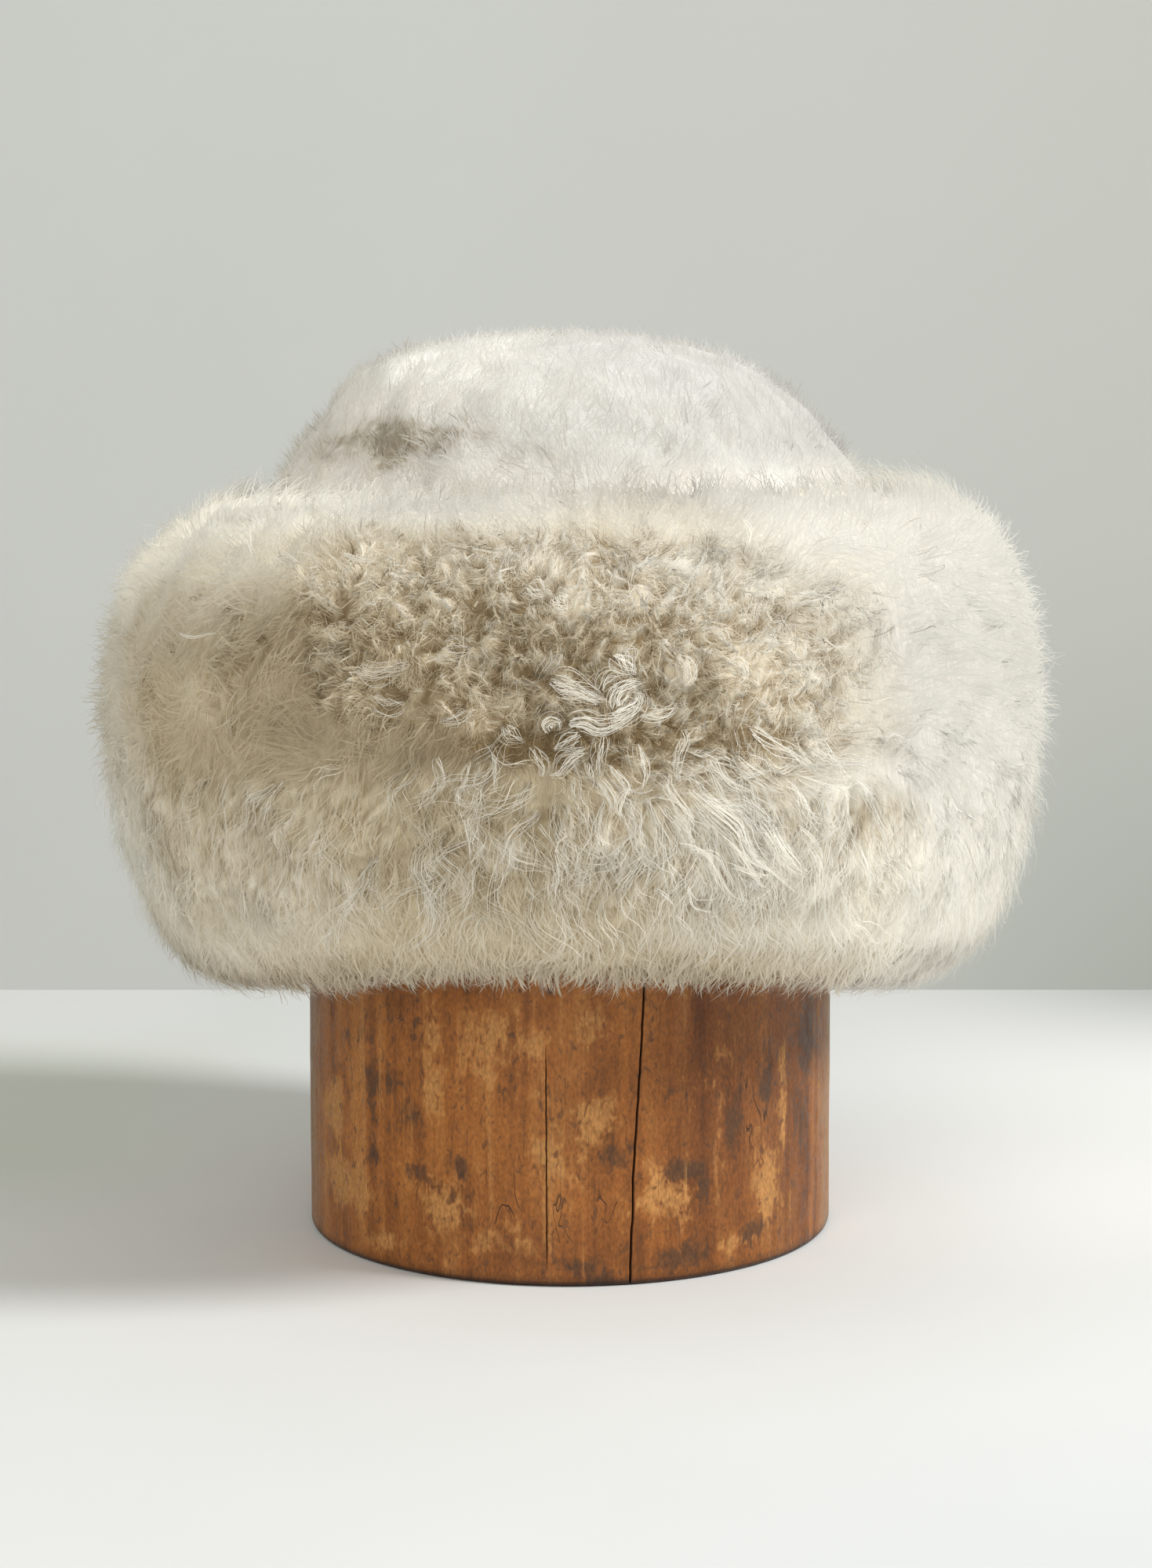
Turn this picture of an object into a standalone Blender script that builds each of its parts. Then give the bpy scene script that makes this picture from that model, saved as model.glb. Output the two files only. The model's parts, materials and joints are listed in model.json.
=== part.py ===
# A sheepskin hat on a wooden hat block: a domed crown of short wool, a deep turned-up cuff of long
# wool, and the oval block that it stands on. Metres, +Z up. The origin is the middle of the
# block's foot, and the hat's front faces -Y.

import math
import random

import bmesh
import bpy

# The block: an oval of hat size 57 with straight sides under a domed top
BLOCK_HALF_WIDTH = 0.0840
BLOCK_HALF_DEPTH = 0.0970
BLOCK_SHOULDER = 0.2150  # height where the straight side ends and the dome starts
BLOCK_TOP = 0.2730
BLOCK_FOOT_BEVEL = 0.0015
DOME_SQUARENESS = 2.38  # power of the superellipse from the shoulder to the top, 2 is an ellipse

# The hides: the leather of both fleeces, all round the block. Every reach is a distance out
# from the block's straight side.
HIDE = 0.0020
PIECE_GAP = 0.0005
SEAT_GAP = 0.0004  # between the crown's hide and the block's top, where the hat is carried
SHOULDER_EASE = 0.0008  # reach of the crown's hide, inside, at the block's shoulder
HEM_EASE = 0.0060  # and at its hem, where the hat is put on
CROWN_HEM = 0.1000
CUFF_HEM = 0.1010
CUFF_HIDE_TOP = 0.2220
CUFF_HIDE_REACH = HEM_EASE + HIDE + PIECE_GAP

# The crown's wool: felted wool on the hide, and locks on that
CROWN_WOOL_HEM = 0.2200
CROWN_WOOL_SIDE = 0.0028
CROWN_WOOL_TOP = 0.0080
CROWN_DENT = {"angle": 237.0, "height": 0.251, "wide": 26.0, "high": 0.011, "deep": 0.0042}

# The cuff's wool in section, from the lip beside the crown over the bulge to the hem. height is
# above the block's foot, and both columns run to the locks' tips.
CUFF_SECTION = [
    {"reach": 0.0120, "height": 0.2260},
    {"reach": 0.0165, "height": 0.2335},
    {"reach": 0.0285, "height": 0.2380},
    {"reach": 0.0425, "height": 0.2340},
    {"reach": 0.0540, "height": 0.2230},
    {"reach": 0.0630, "height": 0.2045},
    {"reach": 0.0680, "height": 0.1810},
    {"reach": 0.0693, "height": 0.1580},
    {"reach": 0.0675, "height": 0.1360},
    {"reach": 0.0625, "height": 0.1150},
    {"reach": 0.0545, "height": 0.0980},
    {"reach": 0.0430, "height": 0.0870},
    {"reach": 0.0300, "height": 0.0835},
    {"reach": 0.0195, "height": 0.0860},
    {"reach": 0.0140, "height": 0.0920},
]

BACK_STEP = 0.0020  # how far inside the ends of the section the back of the wool starts

# How the cuff differs by direction: angle 0 is +X and 90 is the back. rise lifts its top, swell
# moves its bulge out and hang lowers its hem.
CUFF_DIRECTIONS = [
    {"angle": 0.0, "rise": 0.0015, "swell": 0.0010, "hang": 0.0040},
    {"angle": 90.0, "rise": 0.0000, "swell": 0.0000, "hang": 0.0000},
    {"angle": 180.0, "rise": -0.0030, "swell": 0.0000, "hang": 0.0045},
    {"angle": 270.0, "rise": 0.0005, "swell": 0.0015, "hang": -0.0130},
]

# Locks of wool, one row of a table for each row of locks. at is the place of their roots along
# the section (0 its start, 1 its end), way is +1 when they are combed towards its end, long is
# their length in the same measure and deep is their height over the valley beside them.
CUFF_LOCKS = [
    {"at": 0.17, "way": -1, "count": 20, "long": 0.16, "deep": 0.0070},
    {"at": 0.27, "way": -1, "count": 24, "long": 0.15, "deep": 0.0080},
    {"at": 0.37, "way": -1, "count": 25, "long": 0.14, "deep": 0.0085},
    {"at": 0.38, "way": +1, "count": 26, "long": 0.14, "deep": 0.0085},
    {"at": 0.47, "way": +1, "count": 25, "long": 0.15, "deep": 0.0090},
    {"at": 0.57, "way": +1, "count": 24, "long": 0.16, "deep": 0.0090},
    {"at": 0.67, "way": +1, "count": 24, "long": 0.17, "deep": 0.0085},
    {"at": 0.77, "way": +1, "count": 23, "long": 0.17, "deep": 0.0080},
    {"at": 0.86, "way": +1, "count": 22, "long": 0.13, "deep": 0.0060},
]
CROWN_LOCKS = [
    {"at": 0.25, "way": -1, "count": 22, "long": 0.22, "deep": 0.0036},
    {"at": 0.42, "way": -1, "count": 20, "long": 0.22, "deep": 0.0040},
    {"at": 0.60, "way": -1, "count": 16, "long": 0.22, "deep": 0.0042},
    {"at": 0.78, "way": -1, "count": 11, "long": 0.22, "deep": 0.0040},
    {"at": 0.94, "way": -1, "count": 7, "long": 0.20, "deep": 0.0034},
]
LOCK_TAPER = 0.45  # share of its width that a lock loses from root to tip
LOCK_SWAY = 0.45  # how far a tip swings sideways, in lock spacings
LOCK_HALF = 0.60  # half-width of a lock in lock spacings
LOCK_CREST = 0.82  # place of a lock's highest point along its length

# Points around each oval, and steps along each section
HIDE_SIDES = 40
CROWN_SIDES = 64
CUFF_SIDES = 96
DOME_STEPS = 7
CROWN_STEPS = 12
CUFF_STEPS = 26
BACK_STEPS = 4


def clear_scene():
    for obj in list(bpy.data.objects):
        bpy.data.objects.remove(obj)


def material(name, colour, roughness):
    made = bpy.data.materials.new(name)
    made.use_nodes = True
    shader = made.node_tree.nodes["Principled BSDF"]
    shader.inputs["Base Color"].default_value = (*colour, 1.0)
    shader.inputs["Roughness"].default_value = roughness
    shader.inputs["Metallic"].default_value = 0.0
    made.diffuse_color = (*colour, 1.0)
    return made


def oval(reach, height, sides, shrink=1.0):
    """A level ring that lies reach outside the block's side, scaled about the axis by shrink."""
    ring = []
    for i in range(sides):
        angle = 2 * math.pi * i / sides
        x = (BLOCK_HALF_WIDTH + reach) * shrink * math.cos(angle)
        y = (BLOCK_HALF_DEPTH + reach) * shrink * math.sin(angle)
        ring.append((x, y, height))
    return ring


def dome_point(turn, rise):
    """Shrink and height of a dome's ring. turn goes from 0 at the shoulder to a right angle at
    the top, which stands rise above the block's."""
    power = 2.0 / DOME_SQUARENESS
    tall = BLOCK_TOP - BLOCK_SHOULDER + rise
    return math.cos(turn) ** power, BLOCK_SHOULDER + tall * math.sin(turn) ** power


def dome_rings(reach, rise, sides):
    """Rings from the block's shoulder to just under the top of a dome."""
    rings = []
    for i in range(DOME_STEPS):
        shrink, height = dome_point(0.5 * math.pi * i / DOME_STEPS, rise)
        rings.append(oval(reach, height, sides, shrink))
    return rings


def body(name, rings, finish, first=None, last=None):
    """One closed object from a row of equal rings. first and last are the points where its ends
    close. With neither, the last ring joins the first."""
    bm = bmesh.new()
    rows = [[bm.verts.new(p) for p in ring] for ring in rings]
    sides = len(rings[0])
    pairs = list(zip(rows, rows[1:]))
    if first is None and last is None:
        pairs.append((rows[-1], rows[0]))
    for low, high in pairs:
        for i in range(sides):
            j = (i + 1) % sides
            bm.faces.new((low[i], low[j], high[j], high[i]))
    for end, row in ((first, rows[0]), (last, rows[-1])):
        if end is not None:
            pole = bm.verts.new(end)
            for i in range(sides):
                bm.faces.new((row[i], row[(i + 1) % sides], pole))
    bmesh.ops.recalc_face_normals(bm, faces=bm.faces)
    mesh = bpy.data.meshes.new(name)
    bm.to_mesh(mesh)
    bm.free()
    mesh.shade_smooth()
    mesh.set_sharp_from_angle(angle=math.radians(50))
    mesh.materials.append(finish)
    obj = bpy.data.objects.new(name, mesh)
    bpy.context.scene.collection.objects.link(obj)
    return obj


def smooth_path(rows, columns, steps):
    """Points on a Catmull-Rom curve through a table's rows, evenly spread over its spans."""
    knots = [[row[c] for c in columns] for row in rows]
    ends = [knots[0], *knots, knots[-1]]
    path = []
    for i in range(steps + 1):
        place = i / steps * (len(knots) - 1)
        k = min(int(place), len(knots) - 2)
        t = place - k
        point = []
        for p, q, r, s in zip(*ends[k : k + 4]):
            linear = (r - p) * t
            square = (2 * p - 5 * q + 4 * r - s) * t * t
            cubic = (3 * q - p - 3 * r + s) * t * t * t
            point.append(0.5 * (2 * q + linear + square + cubic))
        path.append(point)
    return path


def make_locks(rows, seed):
    """Every lock of a fleece, placed by its row of the table with a little seeded irregularity."""
    rng = random.Random(seed)
    locks = []
    for number, row in enumerate(rows):
        spacing = 2 * math.pi / row["count"]
        for i in range(row["count"]):
            shift = 0.5 * (number % 2) + rng.uniform(-0.18, 0.18)
            locks.append(
                {
                    "angle": (i + shift) * spacing,
                    "at": row["at"] + rng.uniform(-0.02, 0.02),
                    "way": row["way"],
                    "half": spacing * LOCK_HALF * rng.uniform(0.85, 1.15),
                    "long": row["long"] * rng.uniform(0.85, 1.2),
                    "deep": row["deep"] * rng.uniform(0.7, 1.1),
                    "sway": LOCK_SWAY * spacing * rng.uniform(-1.0, 1.0),
                }
            )
    return locks


def relief(locks, angle, place):
    """Height of the fleece over its valleys at this angle and place along the section. A lock is
    a ridge with a round back that narrows, rises and swings sideways from its root to its tip.
    Where locks overlap the highest one counts, so all of them are fused to their backing."""
    best = 0.0
    for lock in locks:
        along = (place - lock["at"]) * lock["way"] / lock["long"]
        if not 0.0 < along < 1.0:
            continue
        middle = lock["angle"] + lock["sway"] * along * along
        off = (angle - middle + math.pi) % (2 * math.pi) - math.pi
        across = off / (lock["half"] * (1 - LOCK_TAPER * along))
        if abs(across) >= 1.0:
            continue
        rise = min(1.0, along / LOCK_CREST) ** 0.8
        tip = math.sqrt(1.0 - max(0.0, (along - LOCK_CREST) / (1.0 - LOCK_CREST)) ** 2)
        best = max(best, lock["deep"] * rise * tip * math.sqrt(1.0 - across * across))
    return best


def by_direction(angle, column):
    """A column of the cuff's table of directions, turned smoothly from one row to the next."""
    turn = math.degrees(angle) % 360.0
    rows = CUFF_DIRECTIONS
    for here, after in zip(rows, rows[1:] + rows[:1]):
        span = (after["angle"] - here["angle"]) % 360.0
        into = (turn - here["angle"]) % 360.0
        if into < span:
            blend = 0.5 - 0.5 * math.cos(math.pi * into / span)
            return here[column] * (1 - blend) + after[column] * blend
    return rows[0][column]


def crown_reach(height):
    """Reach of the inner face of the crown's hide, which eases off the block towards its hem."""
    share = (height - CROWN_HEM) / (BLOCK_SHOULDER - CROWN_HEM)
    return HEM_EASE + (SHOULDER_EASE - HEM_EASE) * share * share


def crown_dent(angle, height):
    """Depth of the shallow dent in the crown, a bell curve around its middle."""
    off = (math.degrees(angle) - CROWN_DENT["angle"] + 180.0) % 360.0 - 180.0
    around = off / CROWN_DENT["wide"]
    up = (height - CROWN_DENT["height"]) / CROWN_DENT["high"]
    return CROWN_DENT["deep"] * math.exp(-around * around - up * up)


def make_block(finish):
    rings = [oval(0.0, 0.0, HIDE_SIDES)] + dome_rings(0.0, 0.0, HIDE_SIDES)
    block = body(
        "hat_block", rings, finish, first=(0.0, 0.0, 0.0), last=(0.0, 0.0, BLOCK_TOP)
    )
    edge = block.modifiers.new("foot_edge", "BEVEL")
    edge.width = BLOCK_FOOT_BEVEL
    edge.segments = 2
    edge.limit_method = "ANGLE"
    edge.angle_limit = math.radians(60)
    return block


def make_crown_hide(finish):
    levels = [CROWN_HEM, 0.122, 0.150, 0.175, 0.196]
    walls = []
    for out in (0.0, HIDE):
        side = [oval(crown_reach(z) + out, z, HIDE_SIDES) for z in levels]
        walls.append(side + dome_rings(SHOULDER_EASE + out, SEAT_GAP + out, HIDE_SIDES))
    return body(
        "crown_hide",
        walls[0][::-1] + walls[1],
        finish,
        first=(0.0, 0.0, BLOCK_TOP + SEAT_GAP),
        last=(0.0, 0.0, BLOCK_TOP + SEAT_GAP + HIDE),
    )


def make_cuff_hide(finish):
    inside, outside = CUFF_HIDE_REACH, CUFF_HIDE_REACH + HIDE
    rings = [
        oval(inside, CUFF_HIDE_TOP, HIDE_SIDES),
        oval(inside, CUFF_HEM, HIDE_SIDES),
        oval(outside, CUFF_HEM, HIDE_SIDES),
        oval(outside, CUFF_HIDE_TOP, HIDE_SIDES),
    ]
    return body("cuff_hide", rings, finish)


def make_crown_wool(finish):
    """A dome of wool over the crown's hide. Its outer rings carry the locks and one dent."""
    locks = make_locks(CROWN_LOCKS, seed=5)
    reach = SHOULDER_EASE + HIDE + PIECE_GAP
    rise = SEAT_GAP + HIDE + PIECE_GAP
    inner = [oval(reach, CROWN_WOOL_HEM, CROWN_SIDES)] + dome_rings(reach, rise, CROWN_SIDES)[1:]
    outer = [oval(reach + CROWN_WOOL_SIDE, CROWN_WOOL_HEM, CROWN_SIDES)]
    start = math.radians(9.0)
    for step in range(1, CROWN_STEPS):
        place = step / CROWN_STEPS
        turn = start + (0.5 * math.pi - start) * place
        shrink, height = dome_point(turn, rise + CROWN_WOOL_TOP)
        ring = []
        for i, (x, y, z) in enumerate(oval(reach + CROWN_WOOL_SIDE, height, CROWN_SIDES, shrink)):
            angle = 2 * math.pi * i / CROWN_SIDES
            lift = relief(locks, angle, place) - crown_dent(angle, z)
            out = 1.0 + lift * math.cos(turn) / math.hypot(x, y)
            ring.append((x * out, y * out, z + lift * math.sin(turn)))
        outer.append(ring)
    return body(
        "crown_wool",
        inner[::-1] + outer,
        finish,
        first=(0.0, 0.0, BLOCK_TOP + rise),
        last=(0.0, 0.0, BLOCK_TOP + rise + CROWN_WOOL_TOP + 0.002),
    )


def make_cuff_wool(finish):
    """The deep wool of the cuff as one ring. Its section is a fat crescent on the cuff's hide,
    and its locks rise to the outline that the table of the section gives."""
    locks = make_locks(CUFF_LOCKS, seed=11)
    deepest = max(row["deep"] for row in CUFF_LOCKS)
    path = smooth_path(CUFF_SECTION, ("reach", "height"), CUFF_STEPS)
    top = max(row["height"] for row in CUFF_SECTION)
    bottom = min(row["height"] for row in CUFF_SECTION)
    rings = []
    for step, (reach, height) in enumerate(path):
        before, after = path[max(0, step - 1)], path[min(CUFF_STEPS, step + 1)]
        run, climb = after[0] - before[0], after[1] - before[1]
        size = math.hypot(run, climb)
        normal = (-climb / size, run / size)
        place = step / CUFF_STEPS
        fade = min(1.0, 8.0 * place, 8.0 * (1.0 - place))
        level = 2.0 * (height - bottom) / (top - bottom) - 1.0
        ring = []
        for i in range(CUFF_SIDES):
            angle = 2 * math.pi * i / CUFF_SIDES
            sink = (deepest - relief(locks, angle, place)) * fade
            out = reach + by_direction(angle, "swell") * fade - normal[0] * sink
            if level > 0.0:
                lift = by_direction(angle, "rise") * level
            else:
                lift = by_direction(angle, "hang") * level
            x = (BLOCK_HALF_WIDTH + out) * math.cos(angle)
            y = (BLOCK_HALF_DEPTH + out) * math.sin(angle)
            ring.append((x, y, height + lift - normal[1] * sink))
        rings.append(ring)
    back = oval(CUFF_HIDE_REACH + HIDE + PIECE_GAP, 0.0, CUFF_SIDES)
    for i in range(BACK_STEPS + 1):
        share = i / BACK_STEPS
        ring = []
        for (x, y, _), low, high in zip(back, rings[CUFF_STEPS], rings[0]):
            base, lip = low[2] + BACK_STEP, high[2] - BACK_STEP
            ring.append((x, y, base + (lip - base) * share))
        rings.append(ring)
    return body("cuff_wool", rings, finish)


def main():
    clear_scene()
    wood = material("worn_wood", (0.23, 0.095, 0.032), 0.45)
    leather = material("hide_leather", (0.55, 0.45, 0.33), 0.85)
    short_wool = material("short_wool", (0.80, 0.76, 0.68), 0.95)
    long_wool = material("long_wool", (0.66, 0.59, 0.46), 0.95)
    make_block(wood)
    make_crown_hide(leather)
    make_cuff_hide(leather)
    make_crown_wool(short_wool)
    make_cuff_wool(long_wool)


main()
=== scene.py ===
import json
import math

import bpy
import numpy as np
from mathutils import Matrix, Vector

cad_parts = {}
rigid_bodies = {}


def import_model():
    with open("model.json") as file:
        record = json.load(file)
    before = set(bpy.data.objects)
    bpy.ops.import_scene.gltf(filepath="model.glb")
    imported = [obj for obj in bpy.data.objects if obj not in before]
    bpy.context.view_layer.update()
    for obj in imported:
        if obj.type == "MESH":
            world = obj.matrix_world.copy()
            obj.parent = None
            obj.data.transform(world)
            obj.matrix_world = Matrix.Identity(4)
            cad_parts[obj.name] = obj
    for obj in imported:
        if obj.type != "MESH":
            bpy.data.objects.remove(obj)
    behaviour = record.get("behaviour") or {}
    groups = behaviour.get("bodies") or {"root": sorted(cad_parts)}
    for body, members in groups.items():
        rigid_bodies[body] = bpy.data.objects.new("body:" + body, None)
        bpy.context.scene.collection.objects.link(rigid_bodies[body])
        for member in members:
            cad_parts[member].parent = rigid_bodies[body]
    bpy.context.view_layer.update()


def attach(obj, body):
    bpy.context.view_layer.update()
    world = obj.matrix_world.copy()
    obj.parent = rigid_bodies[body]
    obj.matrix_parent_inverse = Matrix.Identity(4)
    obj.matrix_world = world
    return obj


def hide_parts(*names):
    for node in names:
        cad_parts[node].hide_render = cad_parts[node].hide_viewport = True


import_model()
print("frame loaded")

# Every piece below is worked out with numpy as whole arrays, in metres and in the frame of the
# solids: +Z up, the hat's front towards -Y, the origin in the middle of the block's foot.

blockPlan = {"halfWidth": 0.0840, "halfDepth": 0.0970}  # the oval that block and hat share
blockMean = 0.5 * (blockPlan["halfWidth"] + blockPlan["halfDepth"])  # its mean radius


# numbers and fields
def smoothStep(low, high, value):
    # 0 below low, 1 above high, and 3t^2 - 2t^3 between
    t = np.clip((value - low) / (high - low), 0.0, 1.0)
    return t * t * (3.0 - 2.0 * t)


def bump(value, middle, half):
    # a bell: e to the minus square of the distance from the middle in half sizes
    return np.exp(-((value - middle) / half) ** 2)


def plateau(value, middle, half):
    # like a bump with a flatter top: the fourth power in place of the square
    return np.exp(-((value - middle) / half) ** 4)


def turnOff(degrees, middle):
    # how far degrees lies from middle round the circle, between -180 and 180
    return (degrees - middle + 180.0) % 360.0 - 180.0


def angleOff(angle, degrees):
    # the same for an angle in radians
    return turnOff(np.degrees(angle), degrees)


def softPatch(angle, level, degrees, middle, halfRound, halfHigh):
    # a bell round the hat times a bell up or down it
    return bump(angleOff(angle, degrees), 0, halfRound) * bump(level, middle, halfHigh)


def unit(vectors):
    return vectors / np.maximum(np.linalg.norm(vectors, axis=-1, keepdims=True), 1e-12)


def softNoise(x, y, z, scale, seed, octaves=3):
    # sum of sine waves in random directions, each octave twice as fine and half as strong
    rng = np.random.default_rng(seed)
    total = np.zeros(np.broadcast(x, y, z).shape)
    for octave in range(octaves):
        for _ in range(5):
            way = unit(rng.normal(size=3)) * 2.0 * math.pi / scale * 2.0 ** octave
            wave = np.sin(way[0] * x + way[1] * y + way[2] * z + rng.uniform(0, 6.28))
            total = total + wave / (5.0 ** 0.5 * 2.0 ** octave)
    return total


def domeCurve(turn, squareness):
    # a superellipse's shrink and rise: the cosine and the sine to the power 2 / squareness
    power = 2.0 / squareness
    return np.cos(turn) ** power, np.sin(turn) ** power


def ovalPoints(angle, reach, height, shrink=1.0):
    # points on the block's oval moved out by reach, then drawn in towards the axis by shrink
    x = (blockPlan["halfWidth"] + reach) * shrink * np.cos(angle)
    y = (blockPlan["halfDepth"] + reach) * shrink * np.sin(angle)
    return np.stack([x, y, height + 0 * x], axis=-1)


# meshes
def addMesh(name, points, faces, material):
    # points is (n, 3). faces is a list of index arrays, (m, 4) for quads or (m, 3) for triangles
    mesh = bpy.data.meshes.new(name)
    mesh.vertices.add(len(points))
    mesh.vertices.foreach_set("co", np.asarray(points, np.float32).ravel())
    corners = np.concatenate([part.ravel() for part in faces])
    sizes = np.concatenate([np.full(len(part), part.shape[1]) for part in faces])
    starts = np.concatenate([[0], np.cumsum(sizes)[:-1]])
    mesh.loops.add(len(corners))
    mesh.loops.foreach_set("vertex_index", corners.astype(np.int32))
    mesh.polygons.add(len(sizes))
    mesh.polygons.foreach_set("loop_start", starts.astype(np.int32))
    mesh.polygons.foreach_set("use_smooth", np.full(len(sizes), True))
    mesh.update(calc_edges=True)
    mesh.materials.append(material)
    piece = bpy.data.objects.new(name, mesh)
    bpy.context.scene.collection.objects.link(piece)
    return piece


def triangles(piece):
    return len(piece.data.loops) - 2 * len(piece.data.polygons)


def addUv(piece, across, along):
    # one UV map, from a value per vertex each way
    mesh = piece.data
    corner = np.empty(len(mesh.loops), np.int32)
    mesh.loops.foreach_get("vertex_index", corner)
    pairs = np.stack([across[corner], along[corner]], axis=1)
    mesh.uv_layers.new(name="strandMap").data.foreach_set("uv", pairs.astype(np.float32).ravel())


def addColours(piece, name, red, green, blue):
    # a colour attribute that carries three plain values per vertex for the material to read
    layer = piece.data.color_attributes.new(name, "FLOAT_COLOR", "POINT")
    values = np.stack([red, green, blue, np.ones_like(red)], axis=1)
    layer.data.foreach_set("color", values.astype(np.float32).ravel())


def gridFaces(rows, columns, closedColumns=True):
    # quads of a grid whose vertex (row, column) has the index row * columns + column
    r = np.arange(rows - 1)[:, None]
    c = np.arange(columns if closedColumns else columns - 1)[None, :]
    n = (c + 1) % columns
    corners = [r * columns + c, r * columns + n, (r + 1) * columns + n, (r + 1) * columns + c]
    return np.stack(corners, axis=-1).reshape(-1, 4)


def joinRings(first, second, columns):
    # quads between two closed rings, each given by the index of its first vertex
    c = np.arange(columns)
    n = (c + 1) % columns
    return np.stack([first + c, first + n, second + n, second + c], axis=-1)


def fanFaces(ring, middle, columns):
    # triangles between a closed ring and the vertex at its middle
    c = np.arange(columns)
    return np.stack([ring + c, ring + (c + 1) % columns, np.full(columns, middle)], axis=-1)


def rowOrder(counts):
    # for rows of counts items: each item's row and its place in that row
    row = np.repeat(np.arange(len(counts)), counts)
    return row, np.arange(len(row)) - np.repeat(np.cumsum(counts) - counts, counts)


# materials
class NodeKit:
    # short ways to add and link shader nodes
    def __init__(self, name):
        self.material = bpy.data.materials.new(name)
        self.material.use_nodes = True
        self.nodes, self.links = self.material.node_tree.nodes, self.material.node_tree.links
        self.shader = self.nodes["Principled BSDF"]
        self.place = self.nodes.new("ShaderNodeTexCoord").outputs["Object"]

    def put(self, socket, value):
        if isinstance(value, bpy.types.NodeSocket):
            self.links.new(value, socket)
        elif isinstance(value, tuple) and len(value) == 3 and socket.type == "RGBA":
            socket.default_value = (*value, 1.0)
        else:
            socket.default_value = value

    def noise(self, scale, detail=3.0, distortion=0.0, stretch=(1, 1, 1), turn=(0, 0, 0), place=None):
        mapping = self.nodes.new("ShaderNodeMapping")
        mapping.inputs["Scale"].default_value = stretch
        mapping.inputs["Rotation"].default_value = turn
        self.links.new(place or self.place, mapping.inputs["Vector"])
        node = self.nodes.new("ShaderNodeTexNoise")
        for name, number in (("Scale", scale), ("Detail", detail), ("Distortion", distortion)):
            node.inputs[name].default_value = number
        self.links.new(mapping.outputs["Vector"], node.inputs["Vector"])
        return node.outputs["Fac"]

    def ownMap(self, name):
        node = self.nodes.new("ShaderNodeUVMap")
        node.uv_map = name
        return node.outputs["UV"]

    def maths(self, operation, a, b=0.0):
        node = self.nodes.new("ShaderNodeMath")
        node.operation = operation
        self.put(node.inputs[0], a)
        self.put(node.inputs[1], b)
        return node.outputs[0]

    def weighted(self, *pairs):
        # the sum of values, each times its weight
        total = 0.0
        for value, weight in pairs:
            total = self.maths("ADD", self.maths("MULTIPLY", value, weight), total)
        return total

    def span(self, value, low, high, start=0.0, stop=1.0, kind="SMOOTHSTEP"):
        node = self.nodes.new("ShaderNodeMapRange")
        node.interpolation_type = kind
        self.put(node.inputs["Value"], value)
        for name, number in (("From Min", low), ("From Max", high), ("To Min", start), ("To Max", stop)):
            node.inputs[name].default_value = number
        return node.outputs["Result"]

    def ramp(self, value, *stops):
        # colours by value. Each stop is a place and a colour, in rising order
        node = self.nodes.new("ShaderNodeValToRGB")
        elements = node.color_ramp.elements
        for index, (place, colour) in enumerate(stops):
            element = elements[index] if index < 2 else elements.new(place)
            element.position = place
            element.color = (*colour, 1.0)
        self.links.new(value, node.inputs["Fac"])
        return node.outputs["Color"]

    def mix(self, amount, a, b, blend="MIX"):
        node = self.nodes.new("ShaderNodeMix")
        node.data_type = "RGBA"
        node.blend_type = blend
        self.put(node.inputs[0], amount)
        self.put(node.inputs[6], a)
        self.put(node.inputs[7], b)
        return node.outputs[2]

    def scaled(self, colour, factor):
        node = self.nodes.new("ShaderNodeVectorMath")
        node.operation = "SCALE"
        self.put(node.inputs[0], colour)
        self.put(node.inputs["Scale"], factor)
        return node.outputs["Vector"]

    def attribute(self, name):
        node = self.nodes.new("ShaderNodeAttribute")
        node.attribute_name = name
        split = self.nodes.new("ShaderNodeSeparateColor")
        self.links.new(node.outputs["Color"], split.inputs["Color"])
        return split.outputs["Red"], split.outputs["Green"], split.outputs["Blue"]

    def bump(self, height, strength, distance):
        node = self.nodes.new("ShaderNodeBump")
        node.inputs["Strength"].default_value = strength
        node.inputs["Distance"].default_value = distance
        self.links.new(height, node.inputs["Height"])
        return node.outputs["Normal"]

    def surface(self, colour, roughness, shine=0.5, normal=None):
        self.put(self.shader.inputs["Base Color"], colour)
        self.put(self.shader.inputs["Roughness"], roughness)
        self.put(self.shader.inputs["Specular IOR Level"], shine)
        if normal is not None:
            self.links.new(normal, self.shader.inputs["Normal"])
        return self.material


# camera, room and lamps
cameraSetup = {"distance": 1.05, "height": 0.245, "aside": 0.0019, "pitch": 5.67, "lens": 75.15}


def placeCamera(s):
    data = bpy.data.cameras.new("camera")
    data.lens = s["lens"]
    data.sensor_width = 36.0
    data.clip_start, data.clip_end = 0.05, 30.0
    camera = bpy.data.objects.new("camera", data)
    camera.location = (s["aside"], -s["distance"], s["height"])
    camera.rotation_euler = (math.radians(90.0 - s["pitch"]), 0.0, 0.0)
    bpy.context.scene.collection.objects.link(camera)
    bpy.context.scene.camera = camera


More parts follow.
